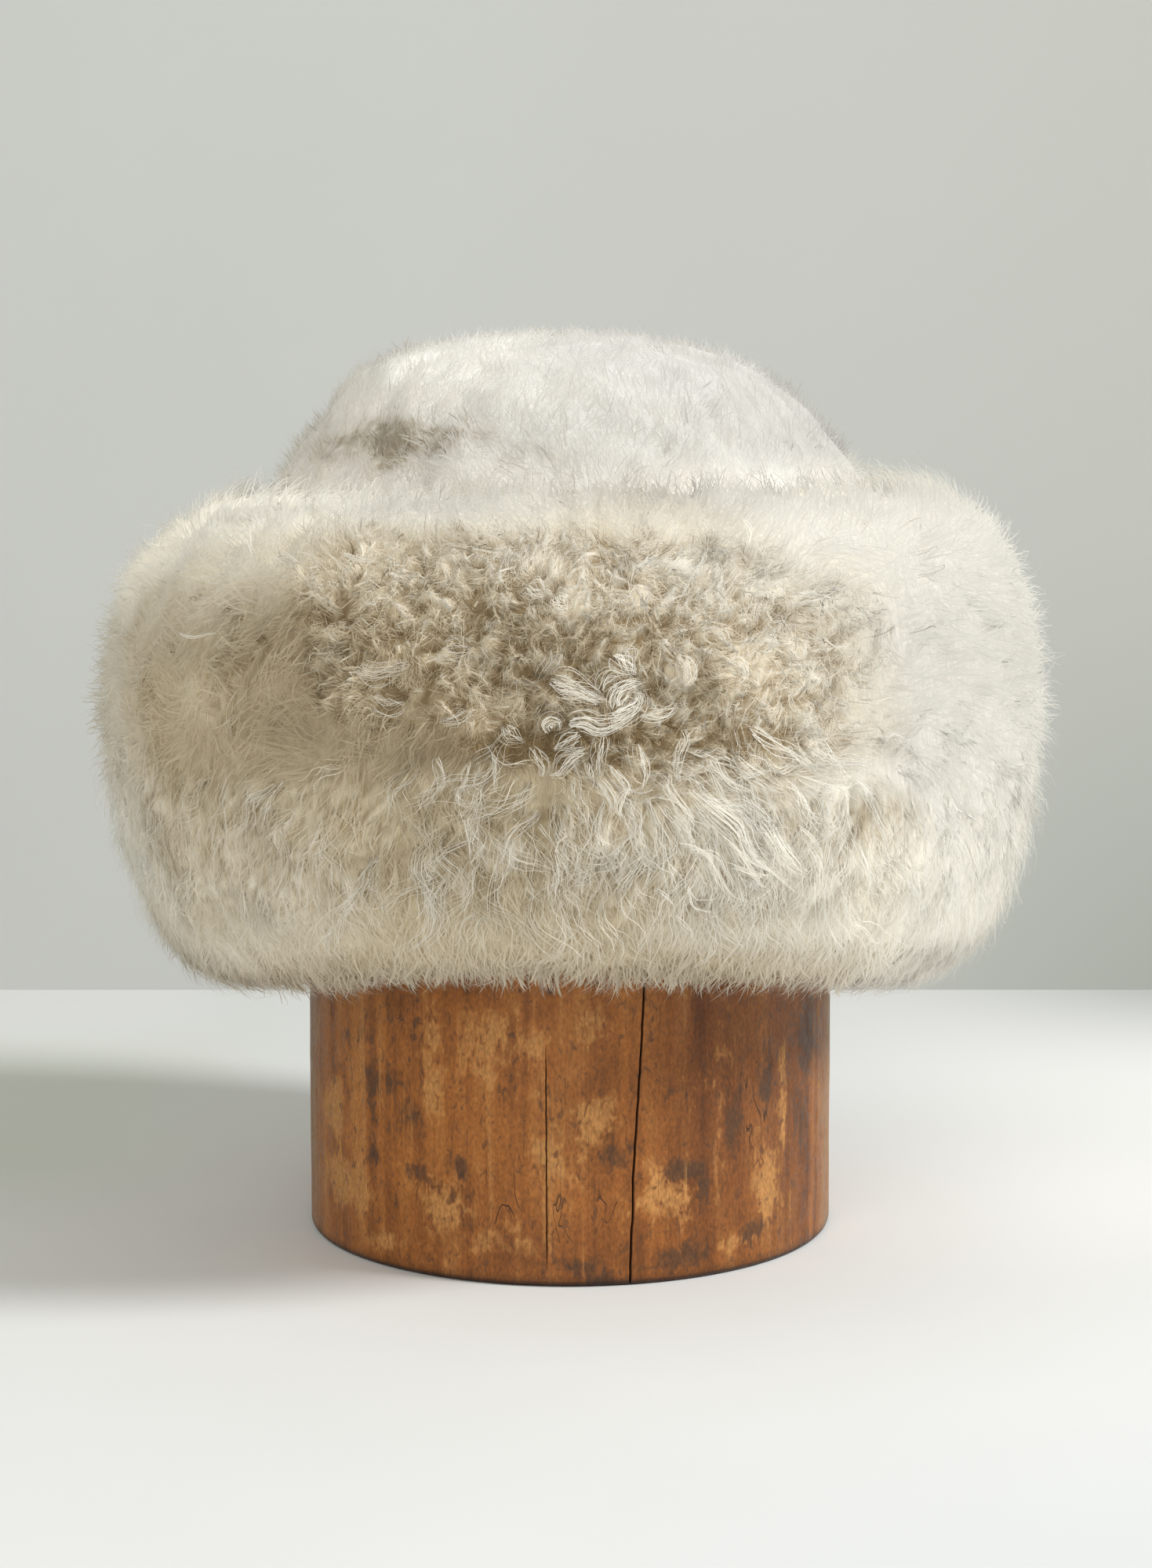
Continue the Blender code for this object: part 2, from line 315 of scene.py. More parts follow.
roomSetup = {
    "tableFar": 0.47,  # the table's far edge in the photograph
    "tableReach": 2.2,
    "tableDrop": 0.4,  # how far its far side goes down
    "edgeRound": 0.02,
    "tableColour": (0.80, 0.808, 0.805),
    "tableMottle": (0.012, 9.0),  # by what share the paint wanders, and the noise's scale
    "wallY": 2.6,
    "wallHalf": 4.0,
    "wallSpan": (-2.0, 4.0),  # its lowest and highest edge
    "wallColour": (0.90, 0.915, 0.895),
    "wallMottle": (0.02, 2.2),
    "paintRoughness": 0.85,
    # painted light and shade on the paints: the other colour and the spans over which it comes in
    # on the table: painted light right of the block, painted shade to the front and far right, and the hat's
    # painted shadow to the left, which ends further back
    "tableChanges": [((0.90, 0.90, 0.89), [("X", 0.02, 0.20), ("Y", -0.15, 0.05)]),
                     ((0.69, 0.715, 0.730), [("X", -0.05, 0.25), ("Y", -0.16, -0.40)]),
                     ((0.36, 0.385, 0.36), [("X", 0.05, 0.38), ("Y", 0.22, 0.50)]),
                     ((0.69, 0.715, 0.655), [("X", -0.08, -0.20), ("Y", -0.05, 0.10)]),
                     ((0.80, 0.808, 0.805), [("X", -0.08, -0.20), ("Y", 0.22, 0.40)])],
    # on the wall: painted shade to the right, deeper at the lower right
    "wallChanges": [((0.83, 0.845, 0.805), [("X", -0.5, 0.8)]),
                    ((0.62, 0.665, 0.615), [("X", 0.20, 0.75), ("Z", 0.22, -0.55)])],
}


def paintedMaterial(s, surface):
    # a matt painted surface whose colour wanders softly. Each change is painted light or shade:
    # another colour, which comes in by the product of its spans along axes
    kit = NodeKit(surface + "Paint")
    share, scale = s[surface + "Mottle"]
    darker = [c * (1 - share) for c in s[surface + "Colour"]]
    lighter = [min(1.0, c * (1 + share)) for c in s[surface + "Colour"]]
    shown = kit.ramp(kit.noise(scale, 4.0), (0.30, darker), (0.70, lighter))
    split = kit.nodes.new("ShaderNodeSeparateXYZ")
    kit.links.new(kit.place, split.inputs["Vector"])
    for other, spans in s[surface + "Changes"]:
        amount = 1.0
        for axis, start, stop in spans:
            amount = kit.maths("MULTIPLY", kit.span(split.outputs[axis], start, stop), amount)
        shown = kit.mix(amount, shown, other)
    return kit.surface(shown, s["paintRoughness"])


def makeRoom(s):
    # the table: a strip across Y whose far edge turns down over a quarter circle
    turn = np.linspace(0.0, 0.5 * math.pi, 12)
    radius = s["edgeRound"]
    y = np.concatenate([[-s["tableReach"]], s["tableFar"] - radius + radius * np.sin(turn), [s["tableFar"]]])
    z = np.concatenate([[0.0], -radius + radius * np.cos(turn), [-s["tableDrop"]]])
    x = np.array([-s["tableReach"], s["tableReach"]])
    points = np.stack([np.tile(x, len(y)), np.repeat(y, 2), np.repeat(z, 2)], axis=1)
    table = addMesh("table_floor", points, [gridFaces(len(y), 2, False)], paintedMaterial(s, "table"))
    half, (low, high) = s["wallHalf"], s["wallSpan"]
    corners = np.array([(-half, low), (half, low), (half, high), (-half, high)])
    corners = np.insert(corners, 1, s["wallY"], axis=1)
    wall = addMesh("wall_backdrop", corners, [np.array([[0, 1, 2, 3]])], paintedMaterial(s, "wall"))


lampSetup = {
    "sky": {"colour": (1.0, 0.995, 0.93), "power": 0.35},
    "target": (0.0, 0.0, 0.14),  # what the lamps face
    "lamps": {  # direction seen from the hat, distance, size, power and colour
        "key_lamp": ((0.93, -0.36, 0.78), 2.4, 0.60, 48.0, (0.99, 0.995, 1.0)),
        "front_lamp": ((-0.15, -1.0, 0.42), 2.6, 1.8, 22.0, (1.0, 0.99, 0.95)),
        "left_lamp": ((-0.8, -0.10, 0.95), 2.6, 1.8, 7.0, (1.0, 0.99, 0.94)),
    },
}


def addLamp(name, target, towards, distance, size, power, colour):
    data = bpy.data.lights.new(name, "AREA")
    data.shape = "DISK"
    data.size = size
    data.energy = power
    data.color = colour
    lamp = bpy.data.objects.new(name, data)
    way = unit(np.array(towards, float))
    lamp.location = tuple(np.array(target) + way * distance)
    lamp.rotation_euler = Vector(tuple(-way)).to_track_quat("-Z", "Y").to_euler()
    bpy.context.scene.collection.objects.link(lamp)


def makeLamps(s):
    for name, lamp in s["lamps"].items():
        addLamp(name, s["target"], *lamp)
    world = bpy.data.worlds.new("studio")
    bpy.context.scene.world = world
    world.use_nodes = True
    sky = world.node_tree.nodes["Background"]
    sky.inputs["Color"].default_value = (*s["sky"]["colour"], 1.0)
    sky.inputs["Strength"].default_value = s["sky"]["power"]
    bpy.context.scene.view_settings.view_transform = "Standard"
    bpy.context.scene.view_settings.look = "None"


# the wool's form on the cuff and on the crown
cuffShape = {
    # the section of the wool's outline from the lip over the bulge to the hem, as in the solids:
    # reach is out from the block's side and height is above its foot
    "reach": [0.0120, 0.0165, 0.0285, 0.0425, 0.0540, 0.0630, 0.0680, 0.0693,
              0.0675, 0.0625, 0.0545, 0.0430, 0.0300, 0.0195, 0.0140],
    "height": [0.2260, 0.2335, 0.2380, 0.2340, 0.2230, 0.2045, 0.1810, 0.1580,
               0.1360, 0.1150, 0.0980, 0.0870, 0.0835, 0.0860, 0.0920],
    # how the cuff differs by direction: 0 is +X, 90 the back, 180 -X, 270 the front
    "rise": [0.0015, 0.0000, -0.0030, 0.0005],
    "swell": [0.0010, 0.0000, 0.0000, 0.0015],
    "hang": [0.0040, 0.0000, 0.0045, -0.0130],
}


def catmullRom(knots, steps):
    # a smooth curve through the knots: each span is the cubic whose slopes at its ends are half
    # the chord between the knots beside them
    knots = np.asarray(knots, float)
    padded = np.concatenate([knots[:1], knots, knots[-1:]])
    place = np.linspace(0, len(knots) - 1, steps)
    k = np.minimum(place.astype(int), len(knots) - 2)
    t = place - k
    a, b, c, d = padded[k], padded[k + 1], padded[k + 2], padded[k + 3]
    square, cube = 2 * a - 5 * b + 4 * c - d, 3 * b - a - 3 * c + d
    return 0.5 * (2 * b + (c - a) * t + square * t ** 2 + cube * t ** 3)


def byDirection(values, angle):
    # eases from one quarter's value to the next with a half cosine
    quarter = (angle / (0.5 * math.pi)) % 4.0
    low = np.floor(quarter).astype(int) % 4
    blend = 0.5 - 0.5 * np.cos(math.pi * (quarter % 1.0))
    values = np.asarray(values)
    return values[low] * (1 - blend) + values[(low + 1) % 4] * blend


def cuffSectionTable(shape, steps=400):
    # reach, height and the section's outward normal, evenly spread by length
    reach, height = catmullRom(shape["reach"], steps), catmullRom(shape["height"], steps)
    length = np.concatenate([[0], np.cumsum(np.hypot(np.diff(reach), np.diff(height)))])
    even = np.linspace(0, length[-1], steps)
    reach, height = np.interp(even, length, reach), np.interp(even, length, height)
    run, climb = np.gradient(reach), np.gradient(height)
    size = np.hypot(run, climb)
    return {"steps": np.linspace(0, 1, steps), "reach": reach, "height": height, "out": -climb / size,
            "up": run / size, "length": length[-1]}


cuffSection = cuffSectionTable(cuffShape)


def sectionAt(name, along):
    # one of the section's values at these shares of its length
    return np.interp(along, cuffSection["steps"], cuffSection[name])


def rimEase(along):
    # 1 on the section, easing down towards the lip and the inner hem
    return np.clip(7 * along, 0.25, 1) * np.clip(7 * (1 - along), 0.25, 1)


def cuffPlace(angle, along, inset=0.0):
    # the point at this angle and share of the section, inset under the wool's outline, with its
    # outward normal, the way down the section and the way round the hat
    reach, height = sectionAt("reach", along), sectionAt("height", along)
    out, up = sectionAt("out", along), sectionAt("up", along)
    lowest, highest = min(cuffShape["height"]), max(cuffShape["height"])
    level = 2.0 * (height - lowest) / (highest - lowest) - 1.0
    rise, hang = byDirection(cuffShape["rise"], angle), byDirection(cuffShape["hang"], angle)
    lift = np.where(level > 0, rise, hang)
    fade = np.clip(8 * along, 0, 1) * np.clip(8 * (1 - along), 0, 1)
    reach = reach + byDirection(cuffShape["swell"], angle) * fade - out * inset
    height = height + lift * level - up * inset
    point = ovalPoints(angle, reach, height)
    wide, deep = blockPlan["halfWidth"] + reach, blockPlan["halfDepth"] + reach
    c, s = np.cos(angle), np.sin(angle)
    flat = unit(np.stack([deep * c, wide * s, 0 * height], axis=-1))
    normal = unit(flat * out[..., None] + np.array([0, 0, 1.0]) * up[..., None])
    around = unit(np.stack([-wide * s, deep * c, 0 * height], axis=-1))
    down = unit(np.cross(around, normal))
    return point, normal, down, around


crownShape = {
    "reach": 0.0101,  # of the wool's outline at the shoulder, out from the block's side
    "shoulder": 0.2150,
    "top": 0.2868,
    "squareness": 2.42,
    # the dent: its middle, its half size in degrees and in height, and its depth
    "dentAngle": 237.0, "dentHeight": 0.251, "dentWide": 26.0, "dentHigh": 0.011, "dentDeep": 0.0055,
}


def crownPlace(angle, turn, inset=0.0):
    # a dome whose section is a superellipse. turn runs from 0 at the shoulder to a right angle
    # at the top. A bell-shaped dent is pressed into it
    s = crownShape
    shrink, rise = domeCurve(turn, s["squareness"])
    wide, deep = blockPlan["halfWidth"] + s["reach"], blockPlan["halfDepth"] + s["reach"]
    tall = s["top"] - s["shoulder"]
    point = ovalPoints(angle, s["reach"], s["shoulder"] + tall * rise, shrink)
    steep = np.maximum(shrink, 1e-6) ** (s["squareness"] - 1.0)
    flat = rise ** (s["squareness"] - 1.0)
    normal = [steep * np.cos(angle) / wide, steep * np.sin(angle) / deep, flat / tall + 0 * angle]
    normal = unit(np.stack(normal, axis=-1))
    bell = softPatch(angle, point[..., 2], s["dentAngle"], s["dentHeight"], s["dentWide"], s["dentHigh"])
    point = point - normal * (s["dentDeep"] * bell + inset)[..., None]
    around = unit(np.stack([-np.sin(angle), np.cos(angle), 0 * angle], axis=-1))
    around = unit(around - normal * np.sum(around * normal, axis=-1, keepdims=True))
    down = unit(np.cross(around, normal))
    return point, normal, down, around


# the wool's material and strands
def woolMaterial(name, look, striped):
    # from the brown of painted shade in crevices and at roots to the tips' cream by depth, towards
    # white where the tint paints light, lighter or darker by painted light, by lock and by strand, with
    # a fine uneven grain. Striped strands show the fibres that make them up, along their own map, and
    # felt has low relief. Light passes through
    kit = NodeKit(name)
    depth, light, white = kit.attribute("woolShadeAndTint")
    colour = kit.ramp(depth, (0.0, look["deep"]), (0.45, look["middle"]), (1.0, look["tip"]))
    colour = kit.mix(white, colour, look["white"])
    if striped:
        grain = kit.noise(1.0, 3.0, 0.0, (2.6, 1.1, 1.0), place=kit.ownMap("strandMap"))
    else:
        grain = kit.noise(look["grainScale"], 3.0, 0.8, (1.0, 1.0, 0.22))
    vary = kit.span(light, 0.0, 1.0, 1.0 - look["vary"], 1.0 + look["vary"], "LINEAR")
    speck = kit.span(grain, 0.3, 0.7, 1.0 - look["grain"], 1.0 + look["grain"], "LINEAR")
    colour = kit.scaled(colour, kit.maths("MULTIPLY", vary, speck))
    normal = kit.bump(grain, look["bump"], 0.0010) if look["bump"] > 0 else None
    material = kit.surface(colour, look["roughness"], look["shine"], normal)
    if look["through"] > 0:
        back = kit.nodes.new("ShaderNodeBsdfTranslucent")
        kit.links.new(colour, back.inputs["Color"])
        both = kit.nodes.new("ShaderNodeMixShader")
        both.inputs["Fac"].default_value = look["through"]
        kit.links.new(kit.shader.outputs["BSDF"], both.inputs[1])
        kit.links.new(back.outputs["BSDF"], both.inputs[2])
        kit.links.new(both.outputs["Shader"], kit.nodes["Material Output"].inputs["Surface"])
    return material


def strandRibbons(path, spin, width, taper):
    # a flat ribbon along each path that faces the way spin says, and ends in a point
    count, rows = path.shape[:2]
    t = np.linspace(0.0, 1.0, rows)
    run = unit(np.gradient(path, axis=1))
    side = unit(np.cross(run, spin))
    half = 0.5 * width[:, None, None] * (1.0 - (1.0 - taper) * t[None, :, None] ** 1.2)
    left, right = path - side * half, path + side * half
    body = np.stack([left[:, :-1], right[:, :-1]], axis=2).reshape(count, -1, 3)
    points = np.concatenate([body, path[:, -1:]], axis=1)
    base = (np.arange(count) * (2 * rows - 1))[:, None]
    k = np.arange(rows - 2)[None, :] * 2
    quads = np.stack([base + k, base + k + 1, base + k + 3, base + k + 2], axis=-1)
    last = 2 * (rows - 2)
    tips = np.concatenate([base + last, base + last + 1, base + last + 2], axis=1)
    face = np.cross(side, run)
    bent = np.stack([face[:, :-1] - 0.6 * side[:, :-1], face[:, :-1] + 0.6 * side[:, :-1]], axis=2)
    face = np.concatenate([bent.reshape(count, -1, 3), face[:, -1:]], axis=1)
    return points, quads, tips, face


def perVertex(values):
    # a value per path point, spread to the two ribbon edges and the tip
    return np.concatenate([np.repeat(values[:, :-1], 2, axis=1), values[:, -1:]], axis=1)


def strandLayer(who, path, face, width, taper, shading, rough, **tints):
    # the ribbons of some strands and what their vertices carry: the lock they belong to, shading
    # normals, and tints between 0 and 1, which paint shade and light, each with a value per strand
    # or per path point
    points, quads, tips, facing = strandRibbons(path, face, width, taper)
    layer = {"who": who, "points": points, "quads": quads, "tips": tips,
             "shading": perVertex(shading) + rough * facing}
    for name, values in tints.items():
        layer[name] = perVertex(np.broadcast_to(np.clip(values, 0, 1), path.shape[:2]))
    return layer


def addStrands(name, layers, material, casts=True, keep=None):
    # one piece from all strands of the layers, or from those that keep picks by their lock. Down so
    # fine that light goes round it casts no shadow of its own
    points, quads, tips, shading, along, across, tone, white = [], [], [], [], [], [], [], []
    shift = 0
    for layer in layers:
        picked = np.arange(len(layer["who"])) if keep is None else np.flatnonzero(keep(layer["who"]))
        per = layer["points"].shape[1]
        move = (np.arange(len(picked)) - picked) * per + shift
        points.append(layer["points"][picked].reshape(-1, 3))
        quads.append((layer["quads"][picked] + move[:, None, None]).reshape(-1, 4))
        tips.append(layer["tips"][picked] + move[:, None])
        shading.append(layer["shading"][picked].reshape(-1, 3))
        along.append(layer["depth"][picked].ravel())
        edge = np.append(np.tile([0.0, 1.0], (per - 1) // 2), 0.5)
        across.append((edge[None, :] + 3.0 * (picked % 101)[:, None]).ravel())
        tone.append(layer["tone"][picked].ravel())
        white.append(layer["white"][picked].ravel())
        shift += len(picked) * per
    piece = addMesh(name, np.concatenate(points), [np.concatenate(quads), np.concatenate(tips)], material)
    along = np.concatenate(along)
    addUv(piece, np.concatenate(across), along)
    addColours(piece, "woolShadeAndTint", along, np.concatenate(tone), np.concatenate(white))
    # shading normals that lean towards the fleece's own, so that strands shade as one soft mass
    normals = unit(np.concatenate(shading)).astype(np.float32)
    piece.data.normals_split_custom_set_from_vertices(normals)
    piece.visible_shadow = casts
    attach(piece, "root")
    print(name, triangles(piece), "triangles")


def tuftCells(angle, along, moveAcross, moveDown, columns, rows, seed):
    # a jittered point in each cell of a grid that closes round the hat. Gives the distances to the
    # nearest and to the next nearest point, in cells, and a random value of the nearest one
    rng = np.random.default_rng(seed)
    across, down = angle / (2 * math.pi) * columns + moveAcross, along * rows + moveDown
    middle = rng.uniform(0.12, 0.88, (2, rows + 2, columns))
    own = rng.uniform(0, 1, (rows + 2, columns))
    cellAcross, cellDown = np.floor(across), np.floor(down)
    first, second, value = np.full(across.shape, 9.0), np.full(across.shape, 9.0), np.zeros(across.shape)
    for i in (-1, 0, 1):
        for j in (-1, 0, 1):
            column = (cellAcross + i).astype(int) % columns
            row = np.clip(cellDown + j + 1, 0, rows + 1).astype(int)
            distance = np.hypot(across - cellAcross - i - middle[0][row, column],
                                down - cellDown - j - middle[1][row, column])
            nearer = distance < first
            second = np.where(nearer, first, np.minimum(second, distance))
            value = np.where(nearer, own[row, column], value)
            first = np.where(nearer, distance, first)
    return first, second, value


# the cuff's wool
cuffFur = {
    "massInset": 0.0062,  # of the matted wool below the outline
    "massColumns": 400, "massRows": 92,
    # its back: the reach, and each row's place beside the last and the first row of the front
    "backReach": 0.0110, "backRows": [(-1, 0.004), (0, -0.003)],
    "curlHigh": 0.0036, "wispHigh": 0.0018, "puffHigh": 0.0024,  # how far tufts stand up
    "curlCells": (170, 50, 5), "wispCells": (210, 11, 6), "puffCells": (48, 14, 7),  # round, down, seed
    "rootDepth": 0.0008, "crimpHigh": 0.0014,  # of the roots in the felt, and of the crimp over it
    # how far hanging tips end below the hem: in all, unevenly, strand by strand, at two places
    "hemSpare": 0.0016, "hemRagged": 0.0030, "hemLoose": 0.0034, "hemDips": 0.0034,
    "lockSpacing": 0.0063, "curlSpacing": 0.0037, "wispSpacing": 0.0070,
    "thinBack": 0.22,  # share of the back's locks that is left out
    "woolMean": 0.155,  # the wool's mean distance from the axis
    "shownReach": 0.066, "shownWidth": 0.00019,  # where the shown locks lie, and their strands' width
    # the kinds of strand: how many to a lock, width, segments, spread as a share of the lock's
    # radius, straying, height, reach, and unevenness of heading, of facing and of tone
    "kinds": {
        "body": {"strands": 4, "width": 0.00080, "segments": 4, "spread": 1.0, "stray": 0.05, "lift": 0.75,
                 "reach": 1.0, "loose": 0.16, "rough": 0.12, "mottle": 0.035, "taper": 0.35},
        "fine": {"strands": 7, "width": 0.00030, "segments": 4, "spread": 1.15, "stray": 0.10, "lift": 1.32,
                 "reach": 1.0, "loose": 0.26, "rough": 0.18, "mottle": 0.08, "taper": 0.15},
        "halo": {"strands": 2, "width": 0.00013, "segments": 3, "spread": 1.3, "stray": 0.20, "lift": 1.65,
                 "reach": 1.0, "loose": 0.40, "rough": 0.20, "mottle": 0.10, "taper": 0.10},
        "curl": {"strands": 18, "width": 0.00024, "segments": 5, "spread": 1.0, "stray": 0.12, "lift": 1.0,
                 "reach": 1.05, "loose": 0.24, "rough": 0.18, "mottle": 0.08, "taper": 0.30},
        "wisp": {"strands": 9, "width": 0.00024, "segments": 8, "spread": 1.5, "stray": 0.05, "lift": 1.0,
                 "reach": 1.0, "loose": 0.12, "rough": 0.14, "mottle": 0.10, "taper": 0.30},
    },
    "seed": 21,
    # deep is the brown of painted shade in crevices and at roots, white the painted light of lit wool
    "look": {"deep": (0.235, 0.165, 0.083), "middle": (0.585, 0.500, 0.352), "tip": (0.83, 0.785, 0.690),
             "white": (0.80, 0.782, 0.725), "roughness": 0.8, "shine": 0.10,
             "grainScale": 900.0, "grain": 0.08, "vary": 0.40, "bump": 0.0, "through": 0.28},
    "matted": {"through": 0.0, "bump": 0.5, "grain": 0.12},  # where the felt's look is another
}


# soft patches of painted light and shade, of lighter or darker and of whiter or browner wool:
# degrees, share of the section, half size in both, lighter, whiter
cuffPatches = [
    # along the lip, from the left
    (222, 0.08, 16, 0.08, -0.20, 1.2), (207, 0.14, 16, 0.07, -0.10, 0.1), (250, 0.12, 16, 0.07, -0.30, 0.4),
    (281, 0.12, 15, 0.07, -0.25, -0.2), (309, 0.08, 18, 0.08, 0.0, 0.2),
    # the left side and its low edge
    (192, 0.22, 16, 0.11, 0.35, 1.2), (194, 0.45, 14, 0.12, 0.0, 0.4), (196, 0.68, 14, 0.12, 0.05, 0.5),
    (216, 0.85, 15, 0.07, 0.30, 0.5), (221, 0.64, 9, 0.08, 0.15, 0.0),
    # the curls' upper rows
    (256, 0.21, 26, 0.04, -0.12, -0.1), (223, 0.28, 13, 0.10, 0.25, 0.5), (246, 0.27, 13, 0.08, 0.15, 0.2),
    (268, 0.27, 13, 0.08, 0.05, 0.4), (290, 0.27, 13, 0.08, 0.0, 0.5), (243, 0.245, 5, 0.03, 0.20, 0.1),
    (268, 0.245, 4, 0.03, 0.20, 0.1), (253, 0.245, 5, 0.03, -0.15, -0.1), (291, 0.24, 5, 0.03, -0.15, -0.1),
    # the curls' lower rows with their hollows
    (219, 0.46, 15, 0.09, 0.20, 0.0), (246, 0.43, 13, 0.07, 0.20, -0.4), (268, 0.43, 13, 0.07, -0.20, 0.1),
    (291, 0.43, 13, 0.07, 0.15, 0.2), (283, 0.42, 5, 0.035, -0.55, -0.3), (253, 0.37, 7, 0.04, 0.30, 0.2),
    (261, 0.44, 5, 0.03, 0.70, 0.4), (268, 0.445, 4, 0.022, -0.25, -0.2), (290, 0.375, 6, 0.04, 0.25, 0.1),
    (225, 0.43, 7, 0.035, 0.25, 0.2), (240, 0.46, 8, 0.03, -0.30, -0.1), (253, 0.50, 5, 0.025, -0.30, -0.1),
    (282, 0.49, 4, 0.025, 0.20, 0.0), (275, 0.40, 3.5, 0.03, -0.35, -0.2),
    # the right side
    (313, 0.45, 16, 0.20, -0.15, 0.3), (342, 0.45, 18, 0.25, -0.15, 0.5), (299, 0.545, 5, 0.03, 0.20, 0.2),
    (307, 0.65, 7, 0.04, 0.15, 0.2), (306, 0.85, 16, 0.07, 0.25, 0.3),
    # the long locks and the hem
    (262, 0.58, 12, 0.08, -0.10, -0.6), (286, 0.60, 13, 0.08, -0.15, 0.3), (247, 0.61, 12, 0.04, 0.20, 0.0),
    (275, 0.61, 4, 0.03, 0.25, 0.0), (228, 0.75, 18, 0.09, 0.30, 0.2), (228, 0.75, 9, 0.04, -0.30, 0.0),
    (262, 0.76, 18, 0.09, 0.15, -0.3), (296, 0.74, 18, 0.10, 0.15, 0.5), (290, 0.73, 10, 0.03, -0.15, -0.2),
    (265, 0.86, 55, 0.06, 0.25, -0.6),
]


def cuffNature(angle, along):
    # what the wool is like at a place: how curly, low or calm it is, how far its tufts stand up,
    # how white it is, and how light. Raised, white and light carry painted light and shade
    s = cuffFur
    x, y, z = np.moveaxis(cuffPlace(angle, along)[0], -1, 0)
    wander = softNoise(x, y, z, 0.08, 3, 2)
    swayA, swayB = softNoise(x, y, z, 0.024, 11, 2), softNoise(x, y, z, 0.024, 12, 2)
    ragged = softNoise(x, y, z, 0.040, 19, 3)
    oval = np.hypot(angleOff(angle, 266) / 36.0, (along - 0.345) / 0.150) + 0.20 * wander + 0.19 * ragged
    curly = smoothStep(1.40, 0.45, oval) * (0.50 + 0.50 * smoothStep(0.11, 0.23, along + 0.04 * wander))
    curly = np.clip(curly, 0.03, 1)
    low = smoothStep(0.47, 0.60, along)
    fineA, fineB = softNoise(x, y, z, 0.009, 13, 2), softNoise(x, y, z, 0.009, 14, 2)
    moveAcross, moveDown = swayA + 0.35 * fineA, swayB + 0.35 * fineB
    first, second, own = tuftCells(angle, along, moveAcross, moveDown, *s["curlCells"])
    curls = smoothStep(0.85, 0.10, first) * (0.25 + 0.90 * own) + 0.25 * smoothStep(0.0, 0.4, second - first)
    moveAcross, moveDown = 1.6 * swayA + 0.4 * fineA, 0.5 * swayB
    first, second, lowOwn = tuftCells(angle, along, moveAcross, moveDown, *s["wispCells"])
    wisps = smoothStep(0.0, 0.5, second - first) * (0.3 + 0.7 * lowOwn)
    first, second, calmOwn = tuftCells(angle, along, 0.40 * swayA, 0.40 * swayB, *s["puffCells"])
    puffs = np.clip(1.05 - first ** 2, 0, 1) * (0.5 + 0.5 * calmOwn) + 0.12 * swayB
    calm = np.clip(1 - curly - 0.5 * low, 0.1, 1)
    hem = smoothStep(0.68, 0.78, along)
    height = curly * s["curlHigh"] * (curls - 0.6) + low * (1 - 0.9 * hem) * s["wispHigh"] * (wisps - 0.4)
    height = height + calm * s["puffHigh"] * (puffs - 0.55) + 0.0005 * swayA
    # the wool lies closer on the left, above and below its widest place
    height = height - 0.0042 * softPatch(angle, along, 206, 0.15, 30, 0.10)
    height = height - 0.0034 * softPatch(angle, along, 200, 0.72, 34, 0.13)
    # painted shade: the dark band over the front's middle and left, and the crevice below the curls
    band = plateau(along + 0.03 * wander, 0.400, 0.12) * plateau(angleOff(angle, 243), 0, 31)
    crevice = bump(along, 0.478, 0.020) * plateau(angleOff(angle, 276), 0, 18)
    raised = 0.50 + curly * 0.56 * (curls - 0.58) + (0.56 - 0.46 * hem) * low * (wisps - 0.40)
    raised = raised + 0.10 * calm * (puffs - 0.5)
    raised = raised - 0.16 * band - 0.35 * crevice
    upper = smoothStep(0.30, 0.10, along)
    right = plateau(angleOff(angle, 352), 0, 52)
    right = right * smoothStep(1.1, 0.3, low * bump(angleOff(angle, 300), 0, 20))
    # painted light: whiter on top, at the right, at the back and low down, browner in the band
    white = 0.10 + 0.62 * upper + 0.80 * right + 0.30 * bump(angleOff(angle, 90), 0, 60)
    white = white + 0.16 * low + 0.08 * wander - 0.22 * band + 0.10 * calm * (puffs - 0.5)
    # painted light: darker where the key lamp falls on the upper right front, lighter in the upper left's
    # shade
    sunny = bump(angleOff(angle, 322), 0, 40) * smoothStep(0.75, 0.25, along)
    shaded = bump(angleOff(angle, 222), 0, 30) * upper
    light = 0.24 * shaded - 0.22 * sunny - 0.18 * band
    inside = smoothStep(0.12, 0.02, along)  # the lip's inner side, which the photograph's lamps reach
    light = light + inside * (0.12 + 0.48 * smoothStep(-0.3, 0.5, np.cos(angle - 0.35)))
    # painted light: lighter and whiter at the back
    behind = plateau(angleOff(angle, 128), 0, 66)
    light, white = light + behind * (0.16 + 0.14 * low), white + 0.40 * behind
    # the patches of painted light and shade
    for degrees, level, halfRound, halfDown, lighter, whiter in cuffPatches:
        patch = softPatch(angle, along, degrees, level, halfRound, halfDown)
        light, white = light + lighter * patch, white + whiter * patch
    white = np.clip(white, 0, 0.95)
    return {"curly": curly, "low": low, "calm": calm, "height": height, "tuft": own,
            "own": own * curly + calmOwn * calm + lowOwn * low,
            "raised": np.clip(raised + 0.12 * upper, 0, 1),
            "white": white, "beige": smoothStep(0.85, 0.45, white), "light": light}


